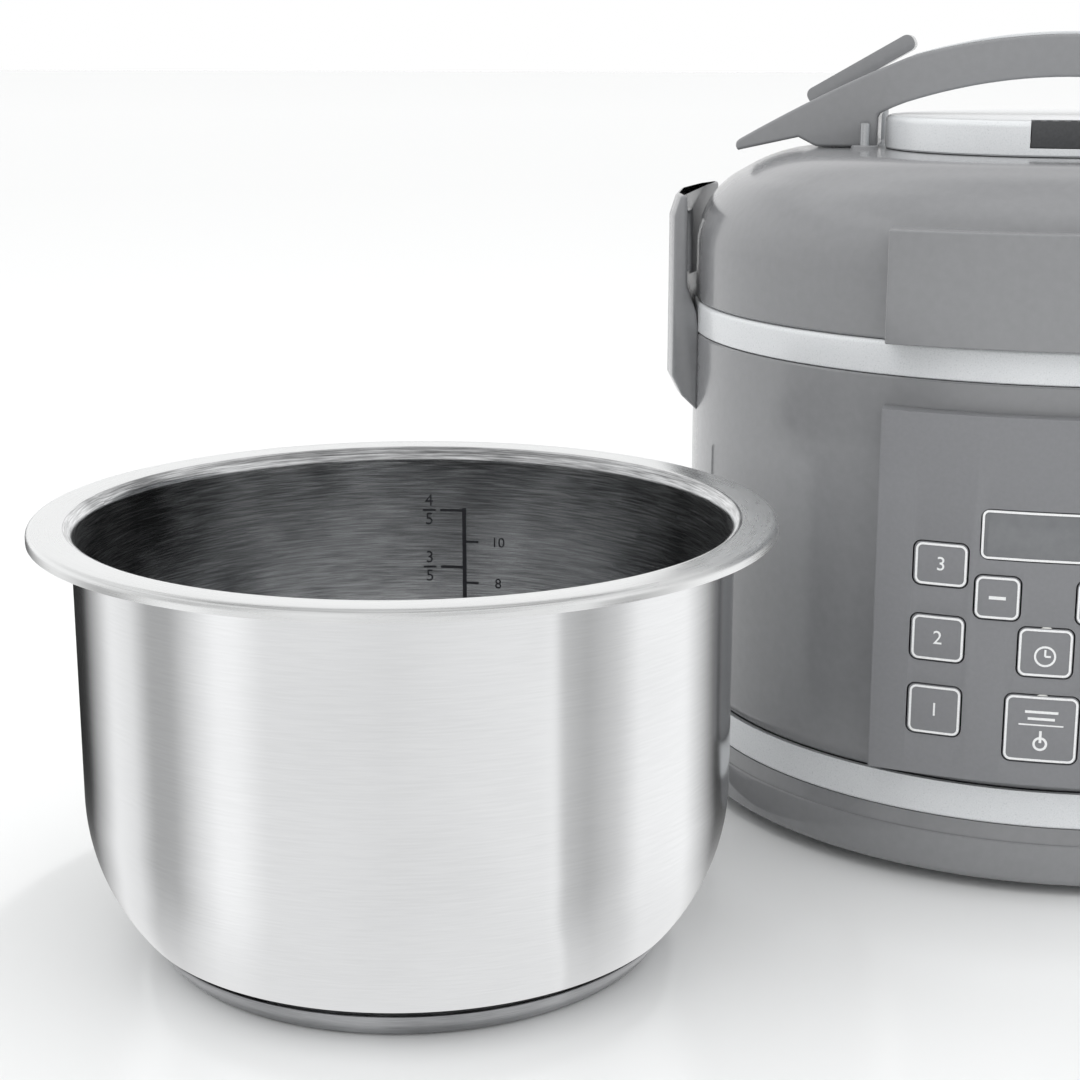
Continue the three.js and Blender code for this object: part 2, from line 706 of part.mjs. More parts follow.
function handleInlay() {
  const z = (rise) => domeTop + gap + rise;
  const archHalf = 61;
  const peak = handleRise + 10 - inlayThickness * 2;
  const shape = new THREE.Shape();
  shape.moveTo(-archHalf, z(handleRise - 10));
  shape.quadraticCurveTo(0, z(peak), archHalf, z(handleRise - 10));
  shape.lineTo(archHalf - 3, z(handleRise - 10 + inlayThickness));
  shape.quadraticCurveTo(0, z(peak + inlayThickness), -archHalf + 3, z(handleRise - 10 + inlayThickness));
  return alongY(shape, -handleWidth / 2 + 4, handleWidth / 2 - 4, 8);
}

function lockingRing() {
  const plate = lockPlateBottom;
  const ring = turned([
    [14, plate + 8], [19, plate + 8], [19, plate + 2.5], [lockSkirtRadius, plate + 2.5],
    [lockSkirtRadius, lugBottom], [lockSkirtRadius - lockWall, lugBottom], [lockSkirtRadius - lockWall, plate],
    [14, plate],
  ]);
  const pitch = 360 / lugCount;
  const lugs = Array.from({ length: lugCount }, (_, i) => {
    const middle = i * pitch + pitch / 2;
    const shape = sector(lugInnerRadius, lockSkirtRadius - 1, middle - lugAngle / 2, middle + lugAngle / 2);
    return raised(shape, lugBottom, lugTop, 3);
  });
  const windows = [0, 90, 180, 270].map((start) =>
    raised(sector(34, 122, start + 9, start + 81), plate - 1, plate + 4, 4));
  const posts = [-1, 1].map((side) =>
    box(side * postRadius - 4, side * postRadius + 4, -4.5, 4.5, plate + 1, domeTop + 0.3));
  return join(cut(join(ring, ...lugs), ...windows), ...posts);
}

// ---------- pressure-release lever ----------
const leverPivot = [-97, domeTop + 11];

function leverBracket() {
  const [x, z] = leverPivot;
  const shape = polygon([[x - 7, domeTop - 30], [x + 9, domeTop - 30], [x + 5, z + 2], [x + 2, z + 4.5], [x - 4, z + 4.5]]);
  const half = 15;
  const block = alongY(shape, leverMiddle - half, leverMiddle + half);
  const slot = box(x - 20, x + 20, leverMiddle - 12, leverMiddle + 12, z - 8, z + 20);
  const pin = new THREE.CylinderGeometry(2, 2, half * 2 - 2, 12).translate(x, leverMiddle, z);
  const dome = turned([[0, domeTop + gap], ...domeLine(gap), [lidRadius + gap, domeTop - 60], [0, domeTop - 60]]);
  return cut(join(cut(block, slot), pin), dome);
}

function releaseLever() {
  const [x, z] = leverPivot;
  const paddle = alongY(roundedRect(50, 7, 3, 22, 8), -11.6, 11.6, 3);
  paddle.rotateY(-radians(leverAngle)).translate(x - 3, leverMiddle, z);
  const lug = alongY(roundedRect(12, 14, 5, x, z + 2), leverMiddle - 7, leverMiddle + 7, 3);
  const bore = new THREE.CylinderGeometry(2.3, 2.3, 40, 12).translate(x, leverMiddle, z);
  return cut(join(paddle, lug), bore);
}

function releasePlunger() {
  const [x, y] = plungerAt;
  const under = leverPivot[1] + 16.2;
  return drum(3, domeTop - 14, under, 12).translate(x, y, 0);
}

// ---------- assembly ----------
function cookerBody() {
  const body = new THREE.Group();
  const footPlace = 78;
  for (const [place, x, y] of [
    ['front_left', -footPlace, -footPlace], ['front_right', footPlace, -footPlace],
    ['rear_left', -footPlace, footPlace], ['rear_right', footPlace, footPlace],
  ]) body.add(named(`foot_${place}`, foot(x, y), rubber()));
  body.add(
    named('base_tray', baseTray(), darkPlastic()),
    named('lower_band', lowerBand(), silverPlastic()),
    named('outer_casing', outerCasing(), darkPlastic()),
    named('trim_ring', trimRing(), silverPlastic()),
    named('deck_trough', deckTrough(), blackPlastic()),
    named('middle_pot', middlePot(), aluminium()),
    named('heating_plate', heatingPlate(), aluminium()),
    named('sensor_cap', sensorCap(), aluminium()),
    named('spring_plate', springPlate(), steel()),
    named('pressure_switch', pressureSwitch(), blackPlastic()),
    named('power_board', powerBoard(), board()),
    named('control_board', controlBoard(), board()),
    named('control_housing', controlHousing(), darkPlastic()),
    named('display_lens', displayLens(), finish('#5c5e60', 0.1, 0)),
    named('side_grip_left', sideGrip(-1), darkPlastic()),
    named('side_grip_right', sideGrip(1), darkPlastic()),
    named('power_inlet', powerInlet(), blackPlastic()),
    named('inlet_pin_live', inletPin(-7), steel()),
    named('inlet_pin_earth', inletPin(0), steel()),
    named('inlet_pin_neutral', inletPin(7), steel()),
    named('hinge_bracket', hingeBracket(), blackPlastic()),
    named('hinge_pin', hingePin(), steel()),
    named('cup_holder', cupHolder(), blackPlastic()),
    named('condensate_cup', condensateCup(), finish('#e4e8ea', 0.15, 0)),
  );
  for (const key of keys) body.add(named(key.name, keyCap(key), darkPlastic()));
  return body;
}

function lid() {
  const group = new THREE.Group();
  group.add(
    named('lid_shell', lidShell(), darkPlastic()),
    named('lid_platform', lidPlatform(), silverPlastic()),
    named('vent_grille', ventGrille(), blackPlastic()),
    named('lid_hinge_arm', lidHingeArm(), blackPlastic()),
    named('centre_boss', centreBoss(), blackPlastic()),
    named('inner_lid', innerLid(), steel()),
    named('sealing_ring', sealingRing(), silicone()),
    named('vent_tube', ventTube(), steel()),
    named('anti_block_cap', antiBlockCap(), steel()),
    named('pressure_weight', pressureWeight(), steel()),
    named('float_pin', floatPin(), steel()),
    named('lever_bracket', leverBracket(), darkPlastic()),
    named('release_lever', releaseLever(), darkPlastic()),
    named('release_plunger', releasePlunger(), steel()),
    named('handle_arch', handleArch(), darkPlastic()),
    named('handle_inlay', handleInlay(), silverPlastic()),
    named('locking_ring', lockingRing(), aluminium()),
  );
  return group;
}

const group = new THREE.Group();
group.add(cookerBody(), lid(), innerPot());
const bounds = new THREE.Box3().setFromObject(group);
const middle = bounds.getCenter(new THREE.Vector3());
group.position.set(-middle.x, -middle.y, -bounds.min.z);

export default group;
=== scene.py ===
import math
import bpy
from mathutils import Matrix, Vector


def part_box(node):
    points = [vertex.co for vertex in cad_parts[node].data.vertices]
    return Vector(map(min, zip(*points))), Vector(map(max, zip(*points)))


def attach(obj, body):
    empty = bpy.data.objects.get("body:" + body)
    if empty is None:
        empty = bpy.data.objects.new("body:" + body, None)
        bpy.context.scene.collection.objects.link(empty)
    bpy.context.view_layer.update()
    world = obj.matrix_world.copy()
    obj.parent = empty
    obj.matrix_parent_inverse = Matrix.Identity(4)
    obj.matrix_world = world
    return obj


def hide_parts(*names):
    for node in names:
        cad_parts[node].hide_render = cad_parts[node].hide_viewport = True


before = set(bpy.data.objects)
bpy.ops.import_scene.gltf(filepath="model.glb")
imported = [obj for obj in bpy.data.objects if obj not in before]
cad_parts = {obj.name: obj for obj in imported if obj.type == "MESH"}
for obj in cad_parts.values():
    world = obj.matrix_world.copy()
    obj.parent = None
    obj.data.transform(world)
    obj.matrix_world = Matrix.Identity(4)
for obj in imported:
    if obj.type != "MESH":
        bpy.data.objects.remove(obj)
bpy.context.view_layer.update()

mm = 0.001


def nodeMiddle(node):
    low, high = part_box(node)
    return (low[0] + high[0]) / 2 / mm, (low[1] + high[1]) / 2 / mm


def nodeLow(node, axis=2):
    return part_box(node)[0][axis] / mm


def nodeHigh(node, axis=2):
    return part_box(node)[1][axis] / mm


cookerAxis = nodeMiddle("trim_ring")
potAxis = nodeMiddle("pot_shell")
print("frame loaded, cooker axis", cookerAxis, "pot axis", potAxis)


# ----- camera, room and lights -----
camera = {"place": (67.6, -747.6, 291.1), "yaw": 12.93, "pitch": 13.72, "lens": 67.96}  # mm and degrees


def addCamera():
    data = bpy.data.cameras.new("camera")
    data.lens = camera["lens"]
    data.sensor_width = 36
    data.clip_start = 0.01
    body = bpy.data.objects.new("camera", data)
    bpy.context.collection.objects.link(body)
    body.location = [value * mm for value in camera["place"]]
    body.rotation_euler = (math.radians(90 - camera["pitch"]), 0, math.radians(camera["yaw"]))
    bpy.context.scene.camera = body


def hexColour(text):  # sRGB hex to linear light
    values = [int(text[i:i + 2], 16) / 255 for i in (1, 3, 5)]
    linear = [v / 12.92 if v <= 0.04045 else ((v + 0.055) / 1.055) ** 2.4 for v in values]
    return (*linear, 1)


def addNode(tree, kind, links=None, values=None, **settings):
    node = tree.nodes.new(kind)
    for key, value in settings.items():
        setattr(node, key, value)
    for key, value in (values or {}).items():
        node.inputs[key].default_value = value
    for key, source in (links or {}).items():
        tree.links.new(source, node.inputs[key])
    return node


def deselectAll():
    if bpy.context.object and bpy.context.object.mode != "OBJECT":
        bpy.ops.object.mode_set(mode="OBJECT")
    bpy.ops.object.select_all(action="DESELECT")


def pick(*pieces):
    deselectAll()
    for piece in pieces:
        piece.select_set(True)
    bpy.context.view_layer.objects.active = pieces[0]


room = {
    "floor": 40.0,  # metres
    "table": "#f4f5f5",
    "tableRough": 0.22,
    "soft": 1.04,  # the grey level that everything but the polished metal is lit by
    "key": (-0.9, -1.1, 1.6, 1.3, 7),  # x, y, z and size in metres, then watts
    "fill": (1.3, -0.7, 1.3, 1.2, 3),
    "top": (0.0, 0.1, 1.9, 1.6, 4),
    # what polished metal sees round the room: degrees from straight behind the camera, grey level
    "walls": ((-180, 1.0), (-140, 1.0), (-110, 0.95), (-60, 0.5), (-20, 0.9), (20, 0.55), (60, 0.95),
              (110, 0.6), (140, 1.0), (180, 1.0)),
    "up": ((0.0, 1.0), (0.30, 1.0), (0.55, 0.5), (0.72, 0.95), (0.86, 0.3), (1.0, 0.7)),
    # bent cards round the pot: their radius and height in mm, and the radius of the pot's wall
    "cards": (165.0, 141.0, 106.2),
    # where each tone shows across the pot's width, from edge to edge, and its grey level
    "bands": ((-1.0, 0.0), (-0.94, 0.03), (-0.89, 0.5), (-0.84, 0.92), (-0.77, 0.8), (-0.71, 0.4),
              (-0.64, 0.42), (-0.56, 0.8), (-0.5, 1.0), (-0.44, 0.98), (-0.36, 0.8), (0.0, 0.75),
              (0.13, 0.78), (0.42, 0.85), (0.455, 0.92), (0.48, 0.55), (0.55, 0.44), (0.64, 0.64),
              (0.7, 0.93), (0.84, 1.0), (0.89, 0.6), (0.94, 0.05), (1.0, 0.0)),
}


def greyRamp(tree, source, stops):  # stops of position and grey level
    ramp = addNode(tree, "ShaderNodeValToRGB", {"Fac": source})
    ends = ramp.color_ramp.elements[0], ramp.color_ramp.elements[1]
    for element, (place, level) in zip(ends, (stops[0], stops[-1])):
        element.position = place
        element.color = (level, level, level, 1)
    for place, level in stops[1:-1]:
        ramp.color_ramp.elements.new(place).color = (level, level, level, 1)
    return ramp.outputs["Color"]


def addRoom():
    deselectAll()
    bpy.ops.mesh.primitive_plane_add(size=room["floor"], location=(0, 0, 0))
    floor = bpy.context.object
    floor.name = "floor"
    material = bpy.data.materials.new("whiteSemiGlossTable")
    material.use_nodes = True
    shader = material.node_tree.nodes["Principled BSDF"]
    shader.inputs["Base Color"].default_value = hexColour(room["table"])
    shader.inputs["Roughness"].default_value = room["tableRough"]
    floor.data.materials.append(material)
    for name in ("key", "fill", "top"):
        x, y, z, size, watts = room[name]
        data = bpy.data.lights.new(name, "AREA")
        data.size = size
        data.energy = watts
        lamp = bpy.data.objects.new(name, data)
        bpy.context.collection.objects.link(lamp)
        lamp.location = (x, y, z)
        lamp.visible_glossy = False  # the polished pot reflects the walls alone
        lamp.rotation_euler = (Vector((0, 0, 0.12)) - lamp.location).to_track_quat("-Z", "Y").to_euler()


def addWorld():
    world = bpy.data.worlds.new("studio")
    bpy.context.scene.world = world
    world.use_nodes = True
    tree = world.node_tree
    tree.nodes.clear()
    place = addNode(tree, "ShaderNodeTexCoord")
    parts = addNode(tree, "ShaderNodeSeparateXYZ", {"Vector": place.outputs["Generated"]})
    # the azimuth runs from minus half a turn to half a turn, with nought behind the camera
    turned = addNode(tree, "ShaderNodeVectorRotate", {"Vector": place.outputs["Generated"]},
                     {"Angle": math.radians(-camera["yaw"])}, rotation_type="Z_AXIS")
    flat = addNode(tree, "ShaderNodeSeparateXYZ", {"Vector": turned.outputs[0]})
    back = addNode(tree, "ShaderNodeMath", {0: flat.outputs["Y"]}, {1: -1.0}, operation="MULTIPLY")
    angle = addNode(tree, "ShaderNodeMath", {0: flat.outputs["X"], 1: back.outputs[0]}, operation="ARCTAN2")
    share = addNode(tree, "ShaderNodeMapRange", {"Value": angle.outputs[0]},
                    {"From Min": -math.pi, "From Max": math.pi, "To Min": 0.0, "To Max": 1.0})
    walls = greyRamp(tree, share.outputs[0], [(0.5 + turn / 360, level) for turn, level in room["walls"]])
    ceiling = greyRamp(tree, parts.outputs["Z"], room["up"])
    high = addNode(tree, "ShaderNodeMapRange", {"Value": parts.outputs["Z"]},
                   {"From Min": 0.35, "From Max": 0.6, "To Min": 0.0, "To Max": 1.0})
    joined = addNode(tree, "ShaderNodeMix", {"Factor": high.outputs[0]}, data_type="RGBA")
    tree.links.new(walls, joined.inputs[6])
    tree.links.new(ceiling, joined.inputs[7])
    seen = addNode(tree, "ShaderNodeLightPath")
    # glossy rays see the walls, everything else a plain soft grey
    soft = addNode(tree, "ShaderNodeMix", {"Factor": seen.outputs["Is Glossy Ray"]}, data_type="RGBA")
    soft.inputs[6].default_value = (room["soft"], room["soft"], room["soft"], 1)
    tree.links.new(joined.outputs[2], soft.inputs[7])
    mix = addNode(tree, "ShaderNodeMix", {"Factor": seen.outputs["Is Camera Ray"]}, data_type="RGBA")
    tree.links.new(soft.outputs[2], mix.inputs[6])
    mix.inputs[7].default_value = (1, 1, 1, 1)
    shown = addNode(tree, "ShaderNodeBackground", {"Color": mix.outputs[2]}, {"Strength": 1.0})
    addNode(tree, "ShaderNodeOutputWorld", {"Surface": shown.outputs[0]})


addCamera()
addRoom()
addWorld()
bpy.context.scene.view_settings.view_transform = "Standard"
print("camera, room and lights ready")


# ----- ways of making a mesh -----
def arcPoints(centreR, centreZ, radius, start, end, steps):
    turn = [math.radians(start + (end - start) * i / steps) for i in range(steps + 1)]
    return [(centreR + radius * math.cos(a), centreZ + radius * math.sin(a)) for a in turn]


def curvePoints(start, pull, end, steps):  # a curve from start to end, drawn towards pull
    return [tuple((1 - t) ** 2 * a + 2 * t * (1 - t) * b + t * t * c for a, b, c in zip(start, pull, end))
            for t in (i / steps for i in range(steps + 1))]


def drawOutline(name, points, closed):
    deselectAll()
    bpy.ops.mesh.primitive_plane_add(size=mm, location=(0, 0, 0))
    piece = bpy.context.object
    piece.name = name
    bpy.ops.object.mode_set(mode="EDIT")
    bpy.ops.mesh.select_all(action="SELECT")
    bpy.ops.mesh.merge(type="CENTER")
    bpy.ops.transform.translate(value=(points[0][0] * mm, 0, points[0][1] * mm))
    for here, there in zip(points, points[1:]):
        step = ((there[0] - here[0]) * mm, 0, (there[1] - here[1]) * mm)
        bpy.ops.mesh.extrude_region_move(TRANSFORM_OT_translate={"value": step})
    if closed:
        bpy.ops.object.mode_set(mode="OBJECT")
        edges = piece.data.edges
        ends = [v.index for v in piece.data.vertices if sum(v.index in e.vertices for e in edges) == 1]
        for v in piece.data.vertices:
            v.select = v.index in ends
        bpy.ops.object.mode_set(mode="EDIT")
        bpy.ops.mesh.edge_face_add()
    bpy.ops.mesh.select_all(action="SELECT")
    return piece


def softenEdges(piece, width, segments=3, angle=32):
    pick(piece)
    if width > 0:
        bevel = piece.modifiers.new("soft edge", "BEVEL")
        bevel.width = width * mm
        bevel.segments = segments
        bevel.limit_method = "ANGLE"
        bevel.angle_limit = math.radians(angle)
        bevel.harden_normals = False
        bpy.ops.object.modifier_apply(modifier=bevel.name)
    bpy.ops.object.shade_smooth_by_angle(angle=math.radians(35))
    return piece


def turnedPiece(name, outline, middle, edge, steps=128):
    closed = min(outline[0][0], outline[-1][0]) > 0
    piece = drawOutline(name, outline, closed)
    bpy.ops.mesh.spin(steps=steps, angle=2 * math.pi, center=(0, 0, 0), axis=(0, 0, 1))
    bpy.ops.mesh.select_all(action="SELECT")
    bpy.ops.mesh.remove_doubles(threshold=0.00001)
    bpy.ops.mesh.normals_make_consistent(inside=False)
    bpy.ops.transform.translate(value=(middle[0] * mm, middle[1] * mm, 0))
    bpy.ops.object.mode_set(mode="OBJECT")
    return softenEdges(piece, edge, 2)


def slabPiece(name, outline, low, high, flat=False):
    # an outline in X and Z run along Y, or with flat an outline in X and Y run up Z
    piece = drawOutline(name, outline, True)
    bpy.ops.mesh.edge_face_add()
    bpy.ops.transform.translate(value=(0, low * mm, 0))
    bpy.ops.mesh.extrude_region_move(TRANSFORM_OT_translate={"value": (0, (high - low) * mm, 0)})
    bpy.ops.mesh.select_all(action="SELECT")
    if flat:  # X, Z becomes X, Y and the run along Y becomes the height
        bpy.ops.object.mode_set(mode="OBJECT")
        for v in piece.data.vertices:
            v.co = (v.co.x, v.co.z, v.co.y)
        bpy.ops.object.mode_set(mode="EDIT")
        bpy.ops.mesh.select_all(action="SELECT")
    bpy.ops.mesh.normals_make_consistent(inside=False)
    bpy.ops.object.mode_set(mode="OBJECT")
    return piece


def drum(radius, low, high, middle, sides):
    deselectAll()
    place = (middle[0] * mm, middle[1] * mm, (low + high) / 2 * mm)
    bpy.ops.mesh.primitive_cylinder_add(
        radius=radius * mm, depth=(high - low) * mm, vertices=sides, location=place)
    bpy.ops.object.transform_apply(location=True, rotation=False, scale=False)
    return bpy.context.object


def block(x0, x1, y0, y1, z0, z1):
    deselectAll()
    place = ((x0 + x1) / 2 * mm, (y0 + y1) / 2 * mm, (z0 + z1) / 2 * mm)
    bpy.ops.mesh.primitive_cube_add(size=1, location=place)
    bpy.context.object.scale = ((x1 - x0) * mm, (y1 - y0) * mm, (z1 - z0) * mm)
    bpy.ops.object.transform_apply(location=True, rotation=False, scale=True)
    return bpy.context.object


def combine(piece, tools, operation="DIFFERENCE"):
    for tool in tools:
        pick(piece)
        change = piece.modifiers.new("shape", "BOOLEAN")
        change.operation = operation
        change.solver = "EXACT"
        change.object = tool
        bpy.ops.object.modifier_apply(modifier=change.name)
        bpy.data.objects.remove(tool, do_unlink=True)
    return piece


def refinedCopy(node, edge):
    # the CAD piece with its faces merged flat and its edges rounded
    piece = bpy.data.objects.new(node + "_fine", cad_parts[node].data.copy())
    bpy.context.collection.objects.link(piece)
    pick(piece)
    bpy.ops.object.mode_set(mode="EDIT")
    bpy.ops.mesh.select_all(action="SELECT")
    bpy.ops.mesh.remove_doubles(threshold=0.00001)
    bpy.ops.mesh.dissolve_limited(angle_limit=math.radians(1))
    bpy.ops.object.mode_set(mode="OBJECT")
    return softenEdges(piece, edge, 3, 35)


def install(piece, body, material, slot, *nodes):
    piece.data.materials.clear()
    piece.data.materials.append(material)
    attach(piece, body)
    if nodes:
        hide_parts(*nodes)
    return piece


def cardTurn(share, body, radius):  # where on a card round the pot a line of sight ends, in degrees
    lean = math.asin(share)
    along = body * math.cos(lean)
    reach = math.sqrt(along * along - body * body + radius * radius) - along
    side = body * math.sin(lean) + reach * math.sin(2 * lean)
    ahead = along + reach * math.cos(2 * lean)
    return math.degrees(math.atan2(side, ahead))


def addCards():  # bent cards round the pot, which only reflections show
    radius, height, wall = room["cards"]
    bands = [(cardTurn(share, wall, radius), level) for share, level in room["bands"]]
    start, end = bands[0][0], bands[-1][0]
    foot, bend = radius - 80, 35  # it runs along the floor, bends and stands up
    card = drawOutline("reflection_cards", [
        (foot, 0.5), (radius - bend, 0.5), *arcPoints(radius - bend, bend + 0.5, bend, -80, 0, 8),
        (radius, height)], False)
    turn = math.radians(start + camera["yaw"] - 90)
    bpy.ops.mesh.spin(steps=90, angle=math.radians(start - end), center=(0, 0, 0), axis=(0, 0, 1))
    bpy.ops.object.mode_set(mode="OBJECT")
    face = max(card.data.polygons, key=lambda face: face.center.z)
    if face.normal.dot(face.center) > 0:  # the lit side looks at the pot
        card.data.flip_normals()
    card.rotation_euler = (0, 0, turn)
    card.location = (potAxis[0] * mm, potAxis[1] * mm, 0)
    material = bpy.data.materials.new("litPaperCards")
    material.use_nodes = True
    tree = material.node_tree
    tree.nodes.clear()
    place = addNode(tree, "ShaderNodeTexCoord")
    flat = addNode(tree, "ShaderNodeSeparateXYZ", {"Vector": place.outputs["Object"]})
    angle = addNode(tree, "ShaderNodeMath", {0: flat.outputs["Y"], 1: flat.outputs["X"]}, operation="ARCTAN2")
    # the card's own frame starts at its first edge
    whole = addNode(tree, "ShaderNodeMath", {0: angle.outputs[0]}, {1: 2 * math.pi},
                    operation="FLOORED_MODULO")
    share = addNode(tree, "ShaderNodeMapRange", {"Value": whole.outputs[0]},
                    {"From Min": 0.0, "From Max": math.radians(end - start), "To Min": 0.0, "To Max": 1.0})
    grey = greyRamp(tree, share.outputs[0], [((a - start) / (end - start), level) for a, level in bands])
    level = addNode(tree, "ShaderNodeVectorMath", {0: place.outputs["Object"]}, {1: (1, 1, 0)},
                    operation="MULTIPLY")
    away = addNode(tree, "ShaderNodeVectorMath", {0: level.outputs["Vector"]}, operation="LENGTH")
    # the tones fade to a plain light floor towards the pot
    fade = addNode(tree, "ShaderNodeMapRange", {"Value": away.outputs["Value"]},
                   {"From Min": foot * mm, "From Max": radius * mm, "To Min": 0.75, "To Max": 0.0})
    tone = addNode(tree, "ShaderNodeMix", {"Factor": fade.outputs[0]}, data_type="RGBA")
    tree.links.new(grey, tone.inputs[6])
    tone.inputs[7].default_value = (0.8, 0.8, 0.8, 1)
    glow = addNode(tree, "ShaderNodeEmission", {"Color": tone.outputs[2]})
    clear = addNode(tree, "ShaderNodeBsdfTransparent")
    side = addNode(tree, "ShaderNodeNewGeometry")
    both = addNode(tree, "ShaderNodeMixShader",
                   {0: side.outputs["Backfacing"], 1: glow.outputs[0], 2: clear.outputs[0]})
    addNode(tree, "ShaderNodeOutputMaterial", {"Surface": both.outputs[0]})
    card.data.materials.append(material)
    card.visible_camera = False
    card.visible_diffuse = False
    card.visible_shadow = False
    card.visible_transmission = False


addCards()


# ----- materials -----
def newMaterial(name, **sockets):
    material = bpy.data.materials.new(name)
    material.use_nodes = True
    tree = material.node_tree
    shader = tree.nodes["Principled BSDF"]
    for key, value in sockets.items():
        shader.inputs[key.replace("_", " ")].default_value = value
    return material, tree, shader


def grainOn(tree, shader, grain, stretch, depth, rough, tint, detail=4.0):
    # noise with a grain of so many mm, stretched per axis; it drives bump, roughness range and a tint
    place = addNode(tree, "ShaderNodeTexCoord")
    shift = addNode(tree, "ShaderNodeMapping", {"Vector": place.outputs["Object"]}, {"Scale": stretch})
    noise = addNode(tree, "ShaderNodeTexNoise", {"Vector": shift.outputs[0]},
                    {"Scale": 1 / (grain * mm), "Detail": detail, "Roughness": 0.55})
    bump = addNode(tree, "ShaderNodeBump", {"Height": noise.outputs["Fac"]},
                   {"Strength": 0.6, "Distance": depth * mm})
    tree.links.new(bump.outputs[0], shader.inputs["Normal"])
    spread = addNode(tree, "ShaderNodeMapRange", {"Value": noise.outputs["Fac"]},
                     {"From Min": 0.3, "From Max": 0.7, "To Min": rough[0], "To Max": rough[1]})
    tree.links.new(spread.outputs[0], shader.inputs["Roughness"])
    ramp = addNode(tree, "ShaderNodeValToRGB", {"Fac": noise.outputs["Fac"]})
    for element, stop, colour in zip(ramp.color_ramp.elements, (0.32, 0.68), tint):
        element.position = stop
        element.color = hexColour(colour)
    tree.links.new(ramp.outputs["Color"], shader.inputs["Base Color"])


def glossAbs():  # injection moulded ABS: clear gloss with a faint orange peel and slight clouding
    material, tree, shader = newMaterial("mouldedGlossAbs", IOR=1.53, Coat_Weight=0.3, Coat_Roughness=0.08)
    grainOn(tree, shader, 3.4, (1, 1, 1), 0.0025, (0.2, 0.27), ("#868789", "#898a8c"), detail=2.0)
    return material


def fasciaAbs():  # the same plastic under a printed film: darker and flatter
    material, tree, shader = newMaterial("printedFilmFascia", IOR=1.5, Coat_Weight=0.2, Coat_Roughness=0.15)
    grainOn(tree, shader, 1.4, (1, 1, 1), 0.0015, (0.3, 0.38), ("#7c7d80", "#7f8083"), detail=2.0)
    return material


def spunSteel(name, middle, dark, light, rough, stroke=0.4, cloud=45):  # stroke and cloud in mm
    # polished steel with fine turned lines round its axis: long soft streaks in the reflections
    material, tree, shader = newMaterial(name, Metallic=1.0)
    place = addNode(tree, "ShaderNodeTexCoord")
    shift = addNode(tree, "ShaderNodeMapping", {"Vector": place.outputs["Object"]},
                    {"Location": (-middle[0] * mm, -middle[1] * mm, 0)})
    parts = addNode(tree, "ShaderNodeSeparateXYZ", {"Vector": shift.outputs[0]})
    turn = addNode(tree, "ShaderNodeMath", {0: parts.outputs["Y"], 1: parts.outputs["X"]},
                   operation="ARCTAN2")
    slow = addNode(tree, "ShaderNodeMath", {0: turn.outputs[0]}, {1: 0.004}, operation="MULTIPLY")
    flat = addNode(tree, "ShaderNodeVectorMath", {0: shift.outputs[0]}, {1: (1, 1, 0)}, operation="MULTIPLY")
    away = addNode(tree, "ShaderNodeVectorMath", {0: flat.outputs[0]}, operation="LENGTH")
    joined = addNode(tree, "ShaderNodeCombineXYZ",
                     {"X": slow.outputs[0], "Y": away.outputs["Value"], "Z": parts.outputs["Z"]})
    lines = addNode(tree, "ShaderNodeTexNoise", {"Vector": joined.outputs[0]},
                    {"Scale": 1 / (stroke * mm), "Detail": 3.0})
    clouds = addNode(tree, "ShaderNodeTexNoise", {"Vector": shift.outputs[0]},
                     {"Scale": 1 / (cloud * mm), "Detail": 2.0})
    both = addNode(tree, "ShaderNodeMath", {0: lines.outputs["Fac"], 1: clouds.outputs["Fac"]},
                   operation="ADD")
    half = addNode(tree, "ShaderNodeMath", {0: both.outputs[0]}, {1: 0.5}, operation="MULTIPLY")
    ramp = addNode(tree, "ShaderNodeValToRGB", {"Fac": half.outputs[0]})
    ramp.color_ramp.elements[0].position = 0.36
    ramp.color_ramp.elements[0].color = hexColour(dark)
    ramp.color_ramp.elements[1].position = 0.62
    ramp.color_ramp.elements[1].color = hexColour(light)
    tree.links.new(ramp.outputs["Color"], shader.inputs["Base Color"])
    spread = addNode(tree, "ShaderNodeMapRange", {"Value": half.outputs[0]},
                     {"From Min": 0.35, "From Max": 0.65, "To Min": rough[0], "To Max": rough[1]})
    tree.links.new(spread.outputs[0], shader.inputs["Roughness"])
    bump = addNode(tree, "ShaderNodeBump", {"Height": lines.outputs["Fac"]},
                   {"Strength": 0.25, "Distance": 0.01 * mm})
    tree.links.new(bump.outputs[0], shader.inputs["Normal"])
    return material


def grainedMaterial(name, grain, depth, rough, tint, stretch=(1, 1, 1), **sockets):
    material, tree, shader = newMaterial(name, **sockets)
    grainOn(tree, shader, grain, stretch, depth, rough, tint)
    return material


gloss = glossAbs()
fascia = fasciaAbs()
potOutside = spunSteel("deepDrawnPolishedSteel", potAxis, "#eff0f1", "#f5f6f7", (0.14, 0.17))
potInside = spunSteel("brushedInnerSteel", potAxis, "#8d8e8f", "#f4f5f6", (0.12, 0.26))
potFlange = spunSteel("satinRolledSteel", potAxis, "#eceded", "#f7f8f8", (0.24, 0.34))
capsuleSteel = spunSteel("stampedBaseSteel", potAxis, "#8d8e90", "#b3b4b6", (0.3, 0.42))
lidSteel = spunSteel("pressedLidSteel", cookerAxis, "#b5b7b9", "#e2e4e5", (0.18, 0.3))
castAluminium = spunSteel("turnedAluminium", cookerAxis, "#a4a6a8", "#c4c6c8", (0.35, 0.48))
# matt black ABS with a spark-eroded grain
blackAbs = grainedMaterial("sparkGrainAbs", 0.9, 0.03, (0.5, 0.62), ("#434446", "#4d4e50"), IOR=1.5)
